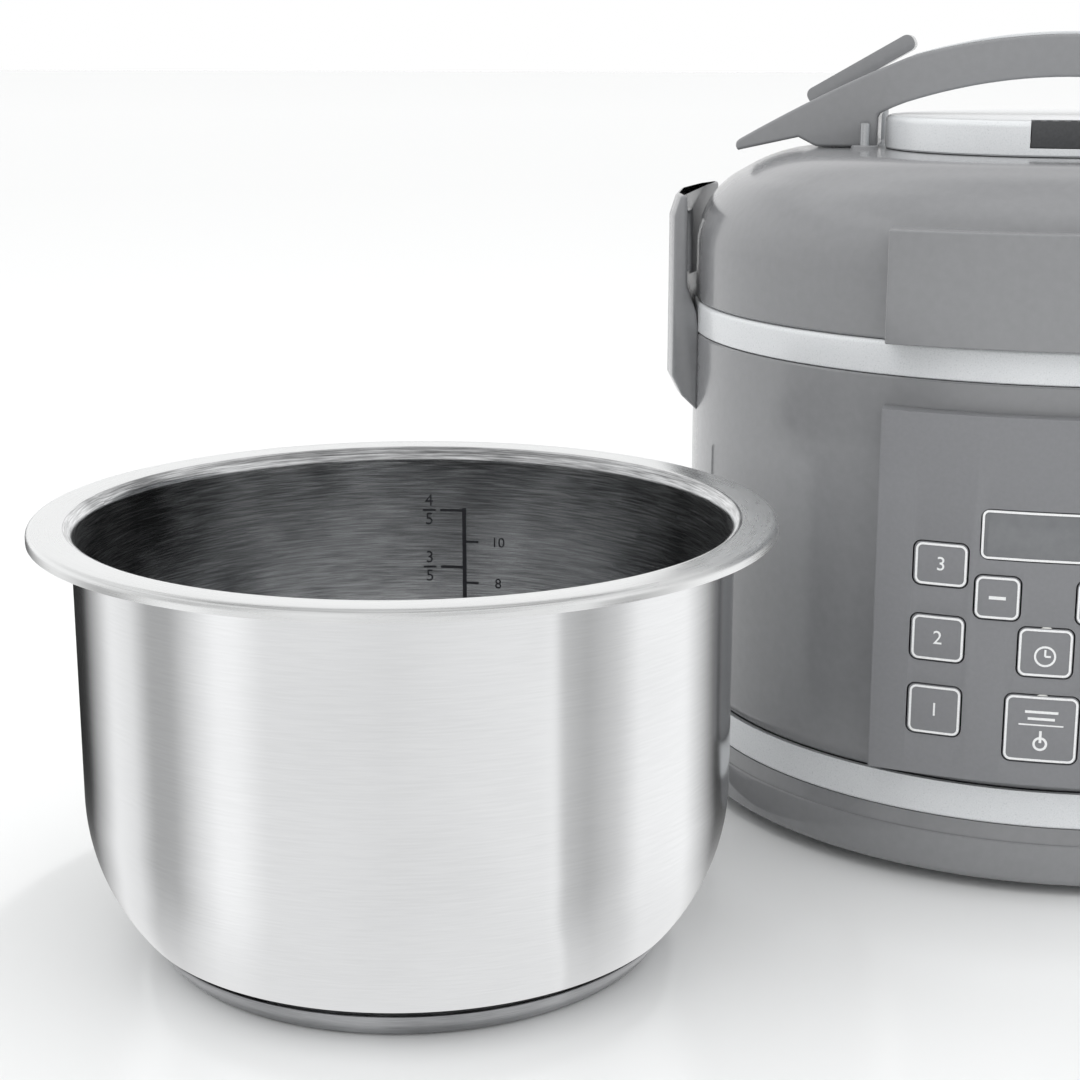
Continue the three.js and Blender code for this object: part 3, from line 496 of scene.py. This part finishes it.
# silver paint over ABS: small flakes make it twinkle a little
silverPaint = grainedMaterial("silverPaintedAbs", 0.5, 0.004, (0.26, 0.38), ("#dcdfe1", "#e8eaec"),
                              Metallic=0.1, Coat_Weight=0.4, Coat_Roughness=0.12)
rubberFoot = grainedMaterial("mouldedRubber", 0.7, 0.05, (0.75, 0.9), ("#1f1f20", "#2b2b2c"), IOR=1.52)
siliconeSeal = grainedMaterial("castSilicone", 3.0, 0.02, (0.45, 0.6), ("#cfd0cc", "#dcdcd8"), IOR=1.41)
solderMask = grainedMaterial("solderMaskBoard", 1.2, 0.02, (0.3, 0.5), ("#1c5c33", "#2b7546"), IOR=1.5)
plainSteel = grainedMaterial("bentSheetSteel", 0.5, 0.01, (0.25, 0.4), ("#b4b6b8", "#d0d2d4"),
                             stretch=(1, 1, 14), Metallic=1.0)
smokedLens = grainedMaterial("smokedAcrylicWindow", 4.0, 0.004, (0.05, 0.1), ("#66686b", "#6c6e71"),
                             IOR=1.49, Coat_Weight=1.0, Coat_Roughness=0.03)
clearCup = grainedMaterial("clearStyrene", 6.0, 0.01, (0.06, 0.14), ("#e8eced", "#f2f5f6"),
                           IOR=1.57, Transmission_Weight=0.7)
printedWhite = grainedMaterial("screenPrintedInk", 0.6, 0.004, (0.4, 0.55), ("#e8e9ea", "#f4f5f5"), IOR=1.5)
etchedMark = grainedMaterial("laserEtchedSteel", 0.5, 0.004, (0.5, 0.65), ("#26272a", "#34353a"),
                             Metallic=0.4)
print("materials ready")


# ----- the lift-out pot -----
pot = {
    "height": 143.9, "flange": 120.0, "body": 106.2, "sheet": 1.2, "mouth": 109.5, "lip": 3.7,
    "corner": 69.0, "cornerHeight": 55.0, "seam": 9.5, "discTop": 88.3, "discBottom": 82.3, "cap": 9.2,
    "sides": 192,
}


def potOutline():
    arcR = pot["body"] - pot["corner"]
    low = pot["seam"]
    sheet = pot["sheet"]
    inner = pot["corner"] - sheet
    outerStart = -90 + math.degrees(math.acos((pot["cornerHeight"] - low) / pot["corner"]))
    innerStart = -90 + math.degrees(math.acos((pot["cornerHeight"] - low - sheet) / inner))
    under = pot["height"] - sheet
    neck = pot["mouth"] - pot["body"] + sheet
    lipR = pot["flange"]
    return [
        (0, low), *arcPoints(arcR, pot["cornerHeight"], pot["corner"], outerStart + 3, 0, 22),
        (pot["body"], under - neck), *arcPoints(pot["body"] + neck, under - neck, neck, 180, 90, 6)[1:],
        (lipR - sheet - 1, under), (lipR - sheet, under - 1), (lipR - sheet, pot["height"] - pot["lip"]),
        (lipR, pot["height"] - pot["lip"]), (lipR, pot["height"] - 2.2),
        *arcPoints(lipR - 2, pot["height"] - 2, 2, 0, 90, 5)[1:],
        (pot["mouth"] + 3, pot["height"] - 0.2), *arcPoints(
            pot["body"] - sheet + neck, pot["height"] - neck - 0.2, neck, 90, 180, 8),
        (pot["body"] - sheet, pot["height"] - neck - 4),
        *arcPoints(arcR, pot["cornerHeight"], inner, 0, innerStart + 6, 22),
        *arcPoints(arcR + inner * math.cos(math.radians(innerStart + 6)) - 10,
                   low + sheet + 8, 8, -40, -90, 4), (0, low + sheet),
    ]


def dressPot(piece):
    piece.data.materials.clear()
    for material in (potOutside, potInside, potFlange):
        piece.data.materials.append(material)
    middle = Vector((potAxis[0] * mm, potAxis[1] * mm, 0))
    for face in piece.data.polygons:
        out = face.center - middle
        away = math.hypot(out.x, out.y) / mm
        facing = face.normal.x * out.x + face.normal.y * out.y
        if face.center.z / mm > pot["height"] - 6 and away > pot["mouth"] - 1:
            face.material_index = 2
        elif facing < -1e-6 or (face.normal.z > 0.5 and away < pot["mouth"]):
            face.material_index = 1


def makePot():
    shell = turnedPiece("pot_shell_fine", potOutline(), potAxis, edge=0, steps=pot["sides"])
    dressPot(shell)
    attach(shell, "inner_pot")
    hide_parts("pot_shell")
    wide, narrow, high = pot["discTop"], pot["discBottom"], pot["cap"]
    slope = (wide - narrow) / high
    cap = turnedPiece("pot_base_cap_fine", [
        (0, 0), (narrow - 2.2, 0), (narrow - 0.6, 0.5), (narrow + slope * 1.6, 1.8), (wide - 0.3, high - 1),
        (wide, high), (wide - 1, high), (narrow - 0.4, 1.4), (narrow - 2, 1), (0, 1),
    ], potAxis, edge=0.25, steps=pot["sides"])
    install(cap, "inner_pot", capsuleSteel, "steel", "pot_base_cap")


def wrapOnCylinder(piece, middle, radius):
    # a flat piece in X and Z, its thickness along Y, is laid on a cylinder about the axis
    for v in piece.data.vertices:
        turn = v.co.x / (radius * mm)
        away = radius * mm + v.co.y
        v.co = (middle[0] * mm + away * math.sin(turn), middle[1] * mm + away * math.cos(turn), v.co.z)


marks = {
    "barX": -8.7, "barWidth": 1.5, "barTop": 121.0, "barLow": 34.0, "tick": 9.0, "thick": 0.12,
    "fifths": {"4": 120.0, "3": 98.0, "2": 76.0, "1": 54.0},
    "cups": {"10": 108.0, "8": 92.0, "6": 76.0, "4": 60.0}, "letter": 6.4, "small": 5.4,
}


def textPiece(name, text, size, x, z, thick):
    deselectAll()
    bpy.ops.object.text_add(location=(0, 0, 0))
    words = bpy.context.object
    words.name = name
    words.data.body = text
    words.data.size = size * mm
    words.data.align_x = "CENTER"
    words.data.align_y = "CENTER"
    words.data.extrude = thick / 2 * mm
    words.data.resolution_u = 4
    bpy.ops.object.convert(target="MESH")
    words = bpy.context.object
    words.rotation_euler = (math.radians(90), 0, 0)
    words.location = (x * mm, 0, z * mm)
    bpy.ops.object.transform_apply(location=True, rotation=True, scale=True)
    return words


def joinPieces(name, pieces):
    pick(*pieces)
    bpy.ops.object.join()
    bpy.context.object.name = name
    return bpy.context.object


def makePotMarks():
    thick = marks["thick"]
    bits = [block(marks["barX"] - marks["barWidth"] / 2, marks["barX"] + marks["barWidth"] / 2,
                  -thick / 2, thick / 2, marks["barLow"], marks["barTop"])]
    for number, z in marks["fifths"].items():
        left = marks["barX"] - marks["tick"]
        bits.append(block(left, marks["barX"], -thick / 2, thick / 2, z - 0.5, z + 0.5))
        x = left - 4.2
        bits.append(textPiece("top", number, marks["letter"], x, z + 3.6, thick))
        bits.append(block(x - 2.4, x + 2.4, -thick / 2, thick / 2, z - 0.35, z + 0.35))
        bits.append(textPiece("low", "5", marks["letter"], x, z - 3.6, thick))
    for number, z in marks["cups"].items():
        right = marks["barX"] + marks["tick"] * 0.6
        bits.append(block(marks["barX"], right, -thick / 2, thick / 2, z - 0.4, z + 0.4))
        bits.append(textPiece("cup", number, marks["small"], marks["barX"] + 13, z, thick))
    piece = joinPieces("pot_level_marks", bits)
    bpy.ops.object.mode_set(mode="EDIT")
    bpy.ops.mesh.select_all(action="SELECT")
    bpy.ops.mesh.subdivide(number_cuts=1)
    bpy.ops.object.mode_set(mode="OBJECT")
    wrapOnCylinder(piece, potAxis, pot["body"] - pot["sheet"] - 0.1)
    install(piece, "inner_pot", etchedMark, "steel")


makePot()
makePotMarks()
print("pot ready")


# ----- base, casing and trim -----
cooker = {
    # the opening behind the panel: half its width, its bottom and its top
    "opening": (50, 52, 153), "inletGap": 0.3, "troughInner": 111.9,
    "wellOuter": 111.5, "wellWall": 1.5, "wellRim": 129.0, "wellMouth": 110, "wellCorner": 14.0,
    "notches": 8, "notchHalf": 12.5, "notchFrom": 119, "notchTo": 136, "plateRings": range(20, 76, 4),
}


def roundNode(node):  # bottom, top and outer radius
    return nodeLow(node), nodeHigh(node), (nodeHigh(node, 0) - nodeLow(node, 0)) / 2


def cookerRings():
    low, high, outer = roundNode("base_tray")
    tray = turnedPiece("base_tray_fine", [
        (0, low), (outer - 5, low), *arcPoints(outer - 4.5, low + 4.2, 4.2, -85, -10, 6), (outer, high - 5.9),
        (outer - 0.4, high - 5.4), (outer - 1.0, high - 5.3), (outer - 1.2, high - 4.6), (outer - 2.5, high),
        (outer - 5, high), (outer - 4.4, low + 5), (outer - 6.5, low + 2.5), (0, low + 2.5),
    ], cookerAxis, edge=0)
    install(tray, "cooker_body", gloss, "dark_plastic", "base_tray")

    low, high, outer = roundNode("lower_band")
    band = turnedPiece("lower_band_fine", [
        (outer - 2.6, low), (outer - 0.9, low), (outer - 0.4, low + 0.6), (outer, high), (outer - 2, high),
    ], cookerAxis, edge=0)
    install(band, "cooker_body", silverPaint, "silver_plastic", "lower_band")

    low, high, outer = roundNode("outer_casing")
    casing = turnedPiece("outer_casing_fine", [
        (outer - 4.5, low), *curvePoints((outer - 4.2, low + 0.2), (outer, low + 3.5), (outer, low + 9), 8),
        (outer, high - 0.6), (outer - 0.6, high), (outer - 2.5, high),
        (outer - 2.5, low + 9.5), (outer - 7, low),
    ], cookerAxis, edge=0)
    x, y = cookerAxis
    half, bottom, top = cooker["opening"]
    gap = cooker["inletGap"]
    combine(casing, [
        block(x - half, x + half, y - outer - 5, y - outer + 30, bottom, top),
        block(nodeLow("power_inlet", 0) - gap, nodeHigh("power_inlet", 0) + gap, y + outer - 20,
              y + outer + 5, nodeLow("power_inlet") - gap, nodeHigh("power_inlet") + gap),
    ])
    softenEdges(casing, 0)
    install(casing, "cooker_body", gloss, "dark_plastic", "outer_casing")

    low, high, outer = roundNode("trim_ring")
    trim = turnedPiece("trim_ring_fine", [
        (outer - 3.5, low), (outer - 0.7, low), (outer - 0.2, low + 0.4), (outer, low + 1.2),
        (outer, high - 1.8), *arcPoints(outer - 1.6, high - 1.6, 1.6, 0, 90, 5), (outer - 3.5, high),
    ], cookerAxis, edge=0)
    install(trim, "cooker_body", silverPaint, "silver_plastic", "trim_ring")

    low, high, outer = roundNode("deck_trough")
    inner = cooker["troughInner"]
    trough = turnedPiece("deck_trough_fine", [
        (inner, low), (outer, low), (outer, high), (outer - 1.6, high), (outer - 1.6, low + 4.5),
        (outer - 4, low + 2), (inner + 1.9, low + 2), (inner + 1.5, low + 6), (inner, low + 6),
    ], cookerAxis, edge=0.4)
    install(trough, "cooker_body", blackAbs, "black_plastic", "deck_trough")


def makeWell():
    x, y = cookerAxis
    low, rim = nodeLow("middle_pot"), nodeHigh("middle_pot")
    outer, rimOuter = cooker["wellOuter"], cooker["wellRim"]
    wall, corner = cooker["wellWall"], cooker["wellCorner"]
    well = turnedPiece("middle_pot_fine", [
        (0, low), *arcPoints(outer - corner, low + corner, corner, -90, 0, 8), (outer, rim - 3.6),
        (rimOuter, rim - 3.6), (rimOuter, rim), (cooker["wellMouth"], rim),
        *arcPoints(outer - corner, low + corner, corner - wall, 0, -90, 8), (0, low + wall),
    ], cookerAxis, edge=0)
    notches = []
    near, far, half = cooker["notchFrom"], cooker["notchTo"], math.radians(cooker["notchHalf"])
    for i in range(cooker["notches"]):
        middle = math.radians((i + 0.5) * 360 / cooker["notches"])
        points = [(x + r * math.cos(middle + side * half), y + r * math.sin(middle + side * half))
                  for r, side in ((near, -1), (far, -1), (far, 1), (near, 1))]
        notches.append(slabPiece("notch", points, rim - 5, rim + 1, flat=True))
    combine(well, notches)
    softenEdges(well, 0.4, 2)
    install(well, "cooker_body", castAluminium, "aluminium", "middle_pot")

    low, top = nodeLow("heating_plate"), nodeHigh("heating_plate")
    rings = [point for r in cooker["plateRings"]
             for point in ((r, top), (r + 2.6, top), (r + 3, top - 0.25), (r + 3.6, top - 0.25))]
    plate = turnedPiece("heating_plate_fine", [
        (15, top - 9), (58, top - 9), (60, low), (66, low), (68, top - 9), (80, top - 9), (82, top - 6),
        (82, top - 1.5), (80.5, top), *reversed(rings), (15, top),
    ], cookerAxis, edge=0, steps=96)
    install(plate, "cooker_body", castAluminium, "aluminium", "heating_plate")


# ----- front panel -----
panel = {
    "half": 58.0, "front": 149.0, "curve": 220.0, "low": 44.0, "high": 171.0, "keyGap": 0.5,
    "line": 0.75, "lineHigh": 0.2, "light": 2.4, "sign": 7.0, "seat": 142.3, "sides": 512,
    # how far in front of the cooker's axis each cut or blank starts and ends
    "wells": (160, 118), "keys": (155, 131), "lens": (155, 138), "back": 110, "visorBack": 112,
}
panelCentre = (cookerAxis[0], cookerAxis[1] + panel["curve"] - panel["front"])
keyNodes = sorted(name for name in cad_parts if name.startswith("key_"))


def keySize(node):
    low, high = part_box(node)
    x = ((low[0] + high[0]) / 2) / mm - cookerAxis[0]
    return x, (low[2] + high[2]) / 2 / mm, (high[0] - low[0]) / mm, (high[2] - low[2]) / mm


def roundedOutline(width, height, radius, x, z, steps=6):
    a, b = width / 2 - radius, height / 2 - radius
    corners = [(a, -b, -90), (a, b, 0), (-a, b, 90), (-a, -b, 180)]
    return [point for cx, cz, start in corners
            for point in arcPoints(x + cx, z + cz, radius, start, start + 90, steps)]


def makeHousing():
    x, y = cookerAxis
    housing = drum(panel["curve"], panel["low"], panel["high"], panelCentre, panel["sides"])
    keep = block(x - panel["half"], x + panel["half"], y - panel["front"] - 5, y - panel["back"],
                 panel["low"], panel["high"])
    combine(housing, [keep], "INTERSECT")
    combine(housing, [drum(panel["seat"], panel["low"] - 2, panel["high"] + 2, cookerAxis, 256)])
    softenEdges(housing, 2.2, 4, 40)
    wells = []
    front, back = [y - away for away in panel["wells"]]
    for node in keyNodes + ["display_lens"]:
        kx, kz, width, height = keySize(node)
        clear = panel["keyGap"] * 2 if node != "display_lens" else 0.5
        outline = roundedOutline(width + clear, height + clear, 3, x + kx, kz)
        wells.append(slabPiece("well", outline, front, back))
    combine(housing, wells)
    softenEdges(housing, 0.25, 2, 60)
    housing.name = "control_housing_fine"
    install(housing, "cooker_body", fascia, "dark_plastic", "control_housing")


def laidOnPanel(piece, height):  # a flat piece in X and Z is laid on the panel's curve
    for v in piece.data.vertices:
        turn = (v.co.x / mm - cookerAxis[0]) / panel["curve"]
        away = (panel["curve"] + height) * mm - v.co.y
        v.co = (panelCentre[0] * mm + away * math.sin(turn), panelCentre[1] * mm - away * math.cos(turn),
                v.co.z)


def ringOutline(name, width, height, radius, x, z, line, thick):
    piece = drawOutline(name, roundedOutline(width, height, radius, x, z), True)
    bpy.ops.mesh.edge_face_add()
    bpy.ops.mesh.inset(thickness=line * mm)
    bpy.ops.mesh.delete(type="FACE")
    bpy.ops.mesh.select_all(action="SELECT")
    bpy.ops.mesh.subdivide(number_cuts=2)
    bpy.ops.mesh.extrude_region_move(TRANSFORM_OT_translate={"value": (0, -thick * mm, 0)})
    bpy.ops.mesh.select_all(action="SELECT")
    bpy.ops.mesh.normals_make_consistent(inside=False)
    bpy.ops.object.mode_set(mode="OBJECT")
    return piece


def sign(kind, x, z, size):
    thick = panel["lineHigh"]
    bar = lambda x0, x1, z0, z1: block(x + x0 * size, x + x1 * size, -thick, 0, z + z0 * size, z + z1 * size)
    if kind == "minus":
        return [bar(-0.5, 0.5, -0.1, 0.1)]
    if kind == "plus":
        return [bar(-0.5, 0.5, -0.1, 0.1), bar(-0.1, 0.1, -0.5, 0.5)]
    if kind == "clock":
        return [ringOutline("clock", size * 1.3, size * 1.3, size * 0.64, x, z, 0.7, thick),
                bar(-0.06, 0.06, 0, 0.42), bar(0, 0.34, -0.06, 0.06)]
    if kind == "power":
        return [ringOutline("power", size, size, size * 0.49, x, z - 5.2, 0.8, thick),
                block(x - 0.45, x + 0.45, -thick, 0, z - 4.8, z - 0.6),
                block(x - 7.4, x + 7.4, -thick, 0, z + 1.2, z + 1.7),
                *[block(x - w / 2, x + w / 2, -thick, 0, z + h, z + h + 0.9)
                  for w, h in ((9, 3.2), (11, 5.6))]]
    return [textPiece("numeral", kind, size * 1.2, x, z, thick * 2)]


def makeKeys():
    x, y = cookerAxis
    kinds = {"key_minus": "minus", "key_plus": "plus", "key_timer": "clock", "key_cancel": "power"}
    numerals = iter("123456")
    front, back = [y - away for away in panel["keys"]]
    for node in keyNodes:
        kx, kz, width, height = keySize(node)
        body = node + "_cap"
        cap = slabPiece(node + "_fine", roundedOutline(width, height, 2.5, x + kx, kz), front, back)
        face = drum(panel["curve"] + 0.25, kz - 20, kz + 20, panelCentre, panel["sides"])
        combine(cap, [face], "INTERSECT")
        softenEdges(cap, 0.35, 3, 50)
        install(cap, body, fascia, "dark_plastic", node)
        kind = kinds.get(node) or next(numerals)
        lines = [ringOutline("line", width - 0.6, height - 0.6, 2.4, x + kx, kz,
                             panel["line"], panel["lineHigh"])]
        drop = 1.2 if node == "key_timer" else 0
        lines += sign(kind, x + kx, kz - drop, panel["sign"] * (0.7 if node == "key_cancel" else 0.8))
        ink = joinPieces(node + "_print", lines)
        laidOnPanel(ink, 0.22)
        install(ink, body, printedWhite, "silver_plastic")
        if node in ("key_timer", "key_cancel"):
            deselectAll()
            place = ((x + kx) * mm, (y - panel["front"] + 0.25) * mm, (kz + height / 2 - 1.6) * mm)
            bpy.ops.mesh.primitive_uv_sphere_add(
                segments=32, ring_count=16, radius=panel["light"] * mm, location=place)
            light = bpy.context.object
            light.scale = (1, 0.18, 1)
            bpy.ops.object.transform_apply(location=True, rotation=True, scale=True)
            light.name = node + "_light"
            bpy.ops.object.shade_smooth()
            install(light, body, siliconeSeal, "silicone")


def makeDisplay():
    x, y = cookerAxis
    kx, kz, width, height = keySize("display_lens")
    front, back = [y - away for away in panel["lens"]]
    lens = slabPiece("display_lens_fine", roundedOutline(width, height, 2.2, x + kx, kz), front, back)
    face = drum(panel["curve"] - 0.2, kz - 20, kz + 20, panelCentre, panel["sides"])
    combine(lens, [face], "INTERSECT")
    softenEdges(lens, 0.3, 2, 50)
    install(lens, "cooker_body", smokedLens, "smoked_acrylic", "display_lens")
    frameLine = ringOutline("display_frame", width - 0.4, height - 0.4, 2.2, x + kx, kz, panel["line"], 0.2)
    laidOnPanel(frameLine, -0.1)
    install(frameLine, "cooker_body", printedWhite, "silver_plastic")


cookerRings()
makeWell()
makeHousing()
makeKeys()
makeDisplay()
print("body and panel ready")


# ----- lid -----
dome = {
    "flat": 98.0, "radius": 141.5, "wall": 3.0, "visor": 38.0, "platform": 69.0,
    "slotInner": 78, "slotOuter": 90, "slotTurn": (-24.5, 4.5), "slots": 6, "slotPitch": 4.2,
    "vent": 5.3, "pinHole": 2.6, "rodHole": 3.4, "sides": 160,
}
domeTop = nodeHigh("lid_shell")
lidLow = nodeLow("lid_shell")


def domeLine(offset, steps=10):
    r, top = dome["flat"], domeTop + offset
    edge = dome["radius"] + offset
    return [
        *curvePoints((r, top), (r + 13, top - 0.6), (r + 26, top - 8.6), steps),
        *curvePoints((r + 26, top - 8.6), (edge - 1.5, top - 16.5), (edge, domeTop - 36), steps + 4)[1:],
    ]


def visorBody():
    x, y = cookerAxis
    low, high = lidLow, lidLow + dome["visor"]
    visor = drum(panel["curve"], low, high, panelCentre, panel["sides"])
    keep = block(x - panel["half"], x + panel["half"], y - panel["front"] - 5, y - panel["visorBack"],
                 low, high)
    combine(visor, [keep], "INTERSECT")
    softenEdges(visor, 3.2, 5, 40)
    return visor


def arcSlot(middle):
    start, end = [math.radians(middle + turn) for turn in dome["slotTurn"]]
    turns = [start + (end - start) * i / 16 for i in range(17)]
    x, y = cookerAxis
    inner, outer = dome["slotInner"], dome["slotOuter"]
    outline = [(x + outer * math.cos(a), y + outer * math.sin(a)) for a in turns]
    outline += [(x + inner * math.cos(a), y + inner * math.sin(a)) for a in reversed(turns)]
    return slabPiece("slot", outline, domeTop - 5, domeTop + 2, flat=True)


def makeLid():
    x, y = cookerAxis
    radius, wall, sides = dome["radius"], dome["wall"], dome["sides"]
    outline = [(0, domeTop), *domeLine(0), (radius, lidLow + 0.8), (radius - 0.8, lidLow),
               (radius - wall, lidLow), *reversed(domeLine(-wall)), (0, domeTop - wall)]
    shell = turnedPiece("lid_shell_fine", outline, cookerAxis, edge=0, steps=sides)
    visor = visorBody()
    combine(visor, [drum(radius - 1.9, lidLow - 2, lidLow + dome["visor"] + 5, cookerAxis, sides)])
    combine(shell, [visor], "UNION")
    pin = nodeMiddle("float_pin")
    combine(shell, [arcSlot(0), arcSlot(180), drum(dome["vent"], domeTop - 5, domeTop + 1, cookerAxis, 48),
                    drum(dome["pinHole"], domeTop - 6, domeTop + 1, pin, 48),
                    drum(dome["rodHole"], domeTop - 25, domeTop + 1, nodeMiddle("release_plunger"), 48)])
    softenEdges(shell, 0)
    install(shell, "lid", gloss, "dark_plastic", "lid_shell")
    collar = turnedPiece("float_collar", [
        (2.6, domeTop), (5.4, domeTop), (5.1, domeTop + 1.1), (4.6, domeTop + 1.5),
        (3.1, domeTop + 1.5), (2.6, domeTop + 1.1),
    ], pin, edge=0, steps=48)
    install(collar, "lid", gloss, "dark_plastic")

    low, high = nodeLow("lid_platform"), nodeHigh("lid_platform")
    outer = dome["platform"]
    cap = turnedPiece("lid_platform_fine", [
        (0, high), (outer - 6, high), (outer - 2.6, high - 0.5),
        *arcPoints(outer - 2.4, high - 2.6, 2.4, 75, 0, 6), (outer, low + 0.6), (outer - 0.6, low),
        (outer - 2.5, low), (outer - 2.5, high - 4), (outer - 5, high - 2.5), (0, high - 2.5),
    ], cookerAxis, edge=0, steps=sides)
    combine(cap, [block(x - 13.8, x + 13.8, y - outer - 5, y - 56, low + 3, high + 1)])
    softenEdges(cap, 0)
    install(cap, "lid", silverPaint, "silver_plastic", "lid_platform")
    grille = drum(outer - 0.3, low + 3.3, high - 0.2, cookerAxis, sides)
    combine(grille, [block(x - 13.5, x + 13.5, y - outer - 5, y - 56.3, low, high + 1)], "INTERSECT")
    lefts = [x - 12.6 + i * dome["slotPitch"] for i in range(dome["slots"])]
    combine(grille, [block(left, left + 2.2, y - 67, y - 58.5, high - 5, high + 1) for left in lefts])
    softenEdges(grille, 0.4, 3, 50)
    grille.name = "vent_grille_fine"
    install(grille, "lid", blackAbs, "black_plastic", "vent_grille")

    low, high = nodeLow("inner_lid"), nodeHigh("inner_lid")
    inner = turnedPiece("inner_lid_fine", [
        (5.3, high - 1.2), (40, high - 1.2), (44, high - 2.4), (96, high - 2.4), (101, high - 1.2),
        (116, high - 1.2), (117.9, high - 2.8), (117.9, low), (119.1, low), (119.1, high - 1.6),
        (118, high), (100.6, high), (95.6, high - 1.2), (44.4, high - 1.2), (40.4, high), (5.3, high),
    ], cookerAxis, edge=0, steps=sides)
    install(inner, "lid", lidSteel, "steel", "inner_lid")
    low, high = nodeLow("sealing_ring"), nodeHigh("sealing_ring")
    seal = turnedPiece("sealing_ring_fine", [
        (109, low + 0.6), (109.6, low), (116.8, low), (117.4, low + 0.6), (117.4, high), (109, high),
        (109, high - 1.7), *curvePoints((109.6, high - 2.3), (115, high - 3.8), (109, low + 2.5), 8),
    ], cookerAxis, edge=0, steps=sides)
    install(seal, "lid", siliconeSeal, "silicone", "sealing_ring")


# ----- handle and lock -----
handle = {
    "rise": 44.5, "half": 13.0, "tip": 126.5, "inner": 71.5, "outer": 95.0, "archHalf": 61.0,
    "inlay": 1.5, "inlayHalf": 9.0, "platform": 12.7, "underside": 37.0,
}
shoulderRise = handle["rise"] - 10
peakRise = handle["rise"] + 10 - handle["inlay"] * 2


def handleOutline():
    x = cookerAxis[0]
    lift = lambda rise: domeTop + rise
    side, inner, outer, tip = handle["archHalf"], handle["inner"], handle["outer"], handle["tip"]
    crown = lift((shoulderRise + peakRise) / 2)
    under = handle["platform"] + 5
    low = lift((under + handle["underside"]) / 2)
    right = [
        *curvePoints((0, crown), (side / 2, crown), (side, lift(shoulderRise)), 12),
        *curvePoints((side, lift(shoulderRise)), (92, lift(22)), (tip - 1.5, lift(3.2)), 14)[1:],
        (tip, lift(2.0)), (tip, lift(-0.6)), (tip - 1, lift(-1.2)),
        (outer + 7, lift(4)), (outer + 1.5, lift(1.2)), (outer, lift(0.6)),
        (inner, lift(0.6)), (inner, lift(handle["platform"])),
        *curvePoints((inner, lift(handle["platform"])), (inner - 4, lift(under - 2.5)),
                     (inner - 11, lift(under)), 8)[1:],
        *curvePoints((inner - 11, lift(under)), ((inner - 11) / 2, low), (0, low), 14)[1:],
    ]
    left = [(-a, b) for a, b in reversed(right)]
    return [(x + a, b) for a, b in right[:-1] + left[:-1]]


def makeHandle():
    x, y = cookerAxis
    arch = slabPiece("handle_arch_fine", handleOutline(), y - handle["half"], y + handle["half"])
    softenEdges(arch, 2.4, 5, 50)
    install(arch, "handle_lock", gloss, "dark_plastic", "handle_arch")
    side, shoulder, peak = handle["archHalf"], domeTop + shoulderRise, domeTop + peakRise
    base = curvePoints((-side, shoulder), (0, peak), (side, shoulder), 28)
    top = curvePoints((side - 3, shoulder + 1.4), (0, peak + 1.3), (3 - side, shoulder + 1.4), 28)
    half = handle["inlayHalf"]
    strip = slabPiece("handle_inlay_fine", [(x + a, b) for a, b in base + top], y - half, y + half)
    softenEdges(strip, 0.5, 3, 50)
    install(strip, "handle_lock", silverPaint, "silver_plastic", "handle_inlay")


# CAD pieces whose shape is kept, with their edges rounded and a finish of their own
carried = [
    # node, body, material, slot, edge radius in mm
    ("foot_front_left", "cooker_body", rubberFoot, "rubber", 0.6),
    ("foot_front_right", "cooker_body", rubberFoot, "rubber", 0.6),
    ("foot_rear_left", "cooker_body", rubberFoot, "rubber", 0.6),
    ("foot_rear_right", "cooker_body", rubberFoot, "rubber", 0.6),
    ("spring_plate", "cooker_body", plainSteel, "steel", 0.2),
    ("pressure_switch", "cooker_body", blackAbs, "black_plastic", 0.5),
    ("power_board", "cooker_body", solderMask, "circuit_board", 0),
    ("control_board", "cooker_body", solderMask, "circuit_board", 0),
    ("power_inlet", "cooker_body", blackAbs, "black_plastic", 0.6),
    ("inlet_pin_live", "cooker_body", plainSteel, "steel", 0.4),
    ("inlet_pin_earth", "cooker_body", plainSteel, "steel", 0.4),
    ("inlet_pin_neutral", "cooker_body", plainSteel, "steel", 0.4),
    ("hinge_bracket", "cooker_body", blackAbs, "black_plastic", 0.8),
    ("hinge_pin", "cooker_body", plainSteel, "steel", 0.4),
    ("cup_holder", "cooker_body", blackAbs, "black_plastic", 0.5),
    ("condensate_cup", "cup", clearCup, "clear_plastic", 0.4),
    ("side_grip_left", "cooker_body", gloss, "dark_plastic", 1.6),
    ("side_grip_right", "cooker_body", gloss, "dark_plastic", 1.6),
    ("sensor_cap", "sensor", castAluminium, "aluminium", 0.6),
    ("lid_hinge_arm", "lid", blackAbs, "black_plastic", 0.8),
    ("centre_boss", "lid", blackAbs, "black_plastic", 0.3),
    ("vent_tube", "lid", plainSteel, "steel", 0.2),
    ("anti_block_cap", "lid", lidSteel, "steel", 0.4),
    ("pressure_weight", "weight_valve", plainSteel, "steel", 0.5),
    ("float_pin", "float_valve", plainSteel, "steel", 0.5),
    ("lever_bracket", "lid", gloss, "dark_plastic", 0.8),
    ("release_lever", "lever", gloss, "dark_plastic", 1.0),
    ("release_plunger", "plunger", plainSteel, "steel", 0.3),
    ("locking_ring", "handle_lock", castAluminium, "aluminium", 0.3),
]


def carryOver():
    for node, body, material, slot, edge in carried:
        piece = refinedCopy(node, edge)
        install(piece, body, material, slot, node)
    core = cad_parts["pot_core_disc"]
    for place in core.material_slots:
        place.material = castAluminium


makeLid()
makeHandle()
carryOver()
print("lid, handle and small pieces ready")
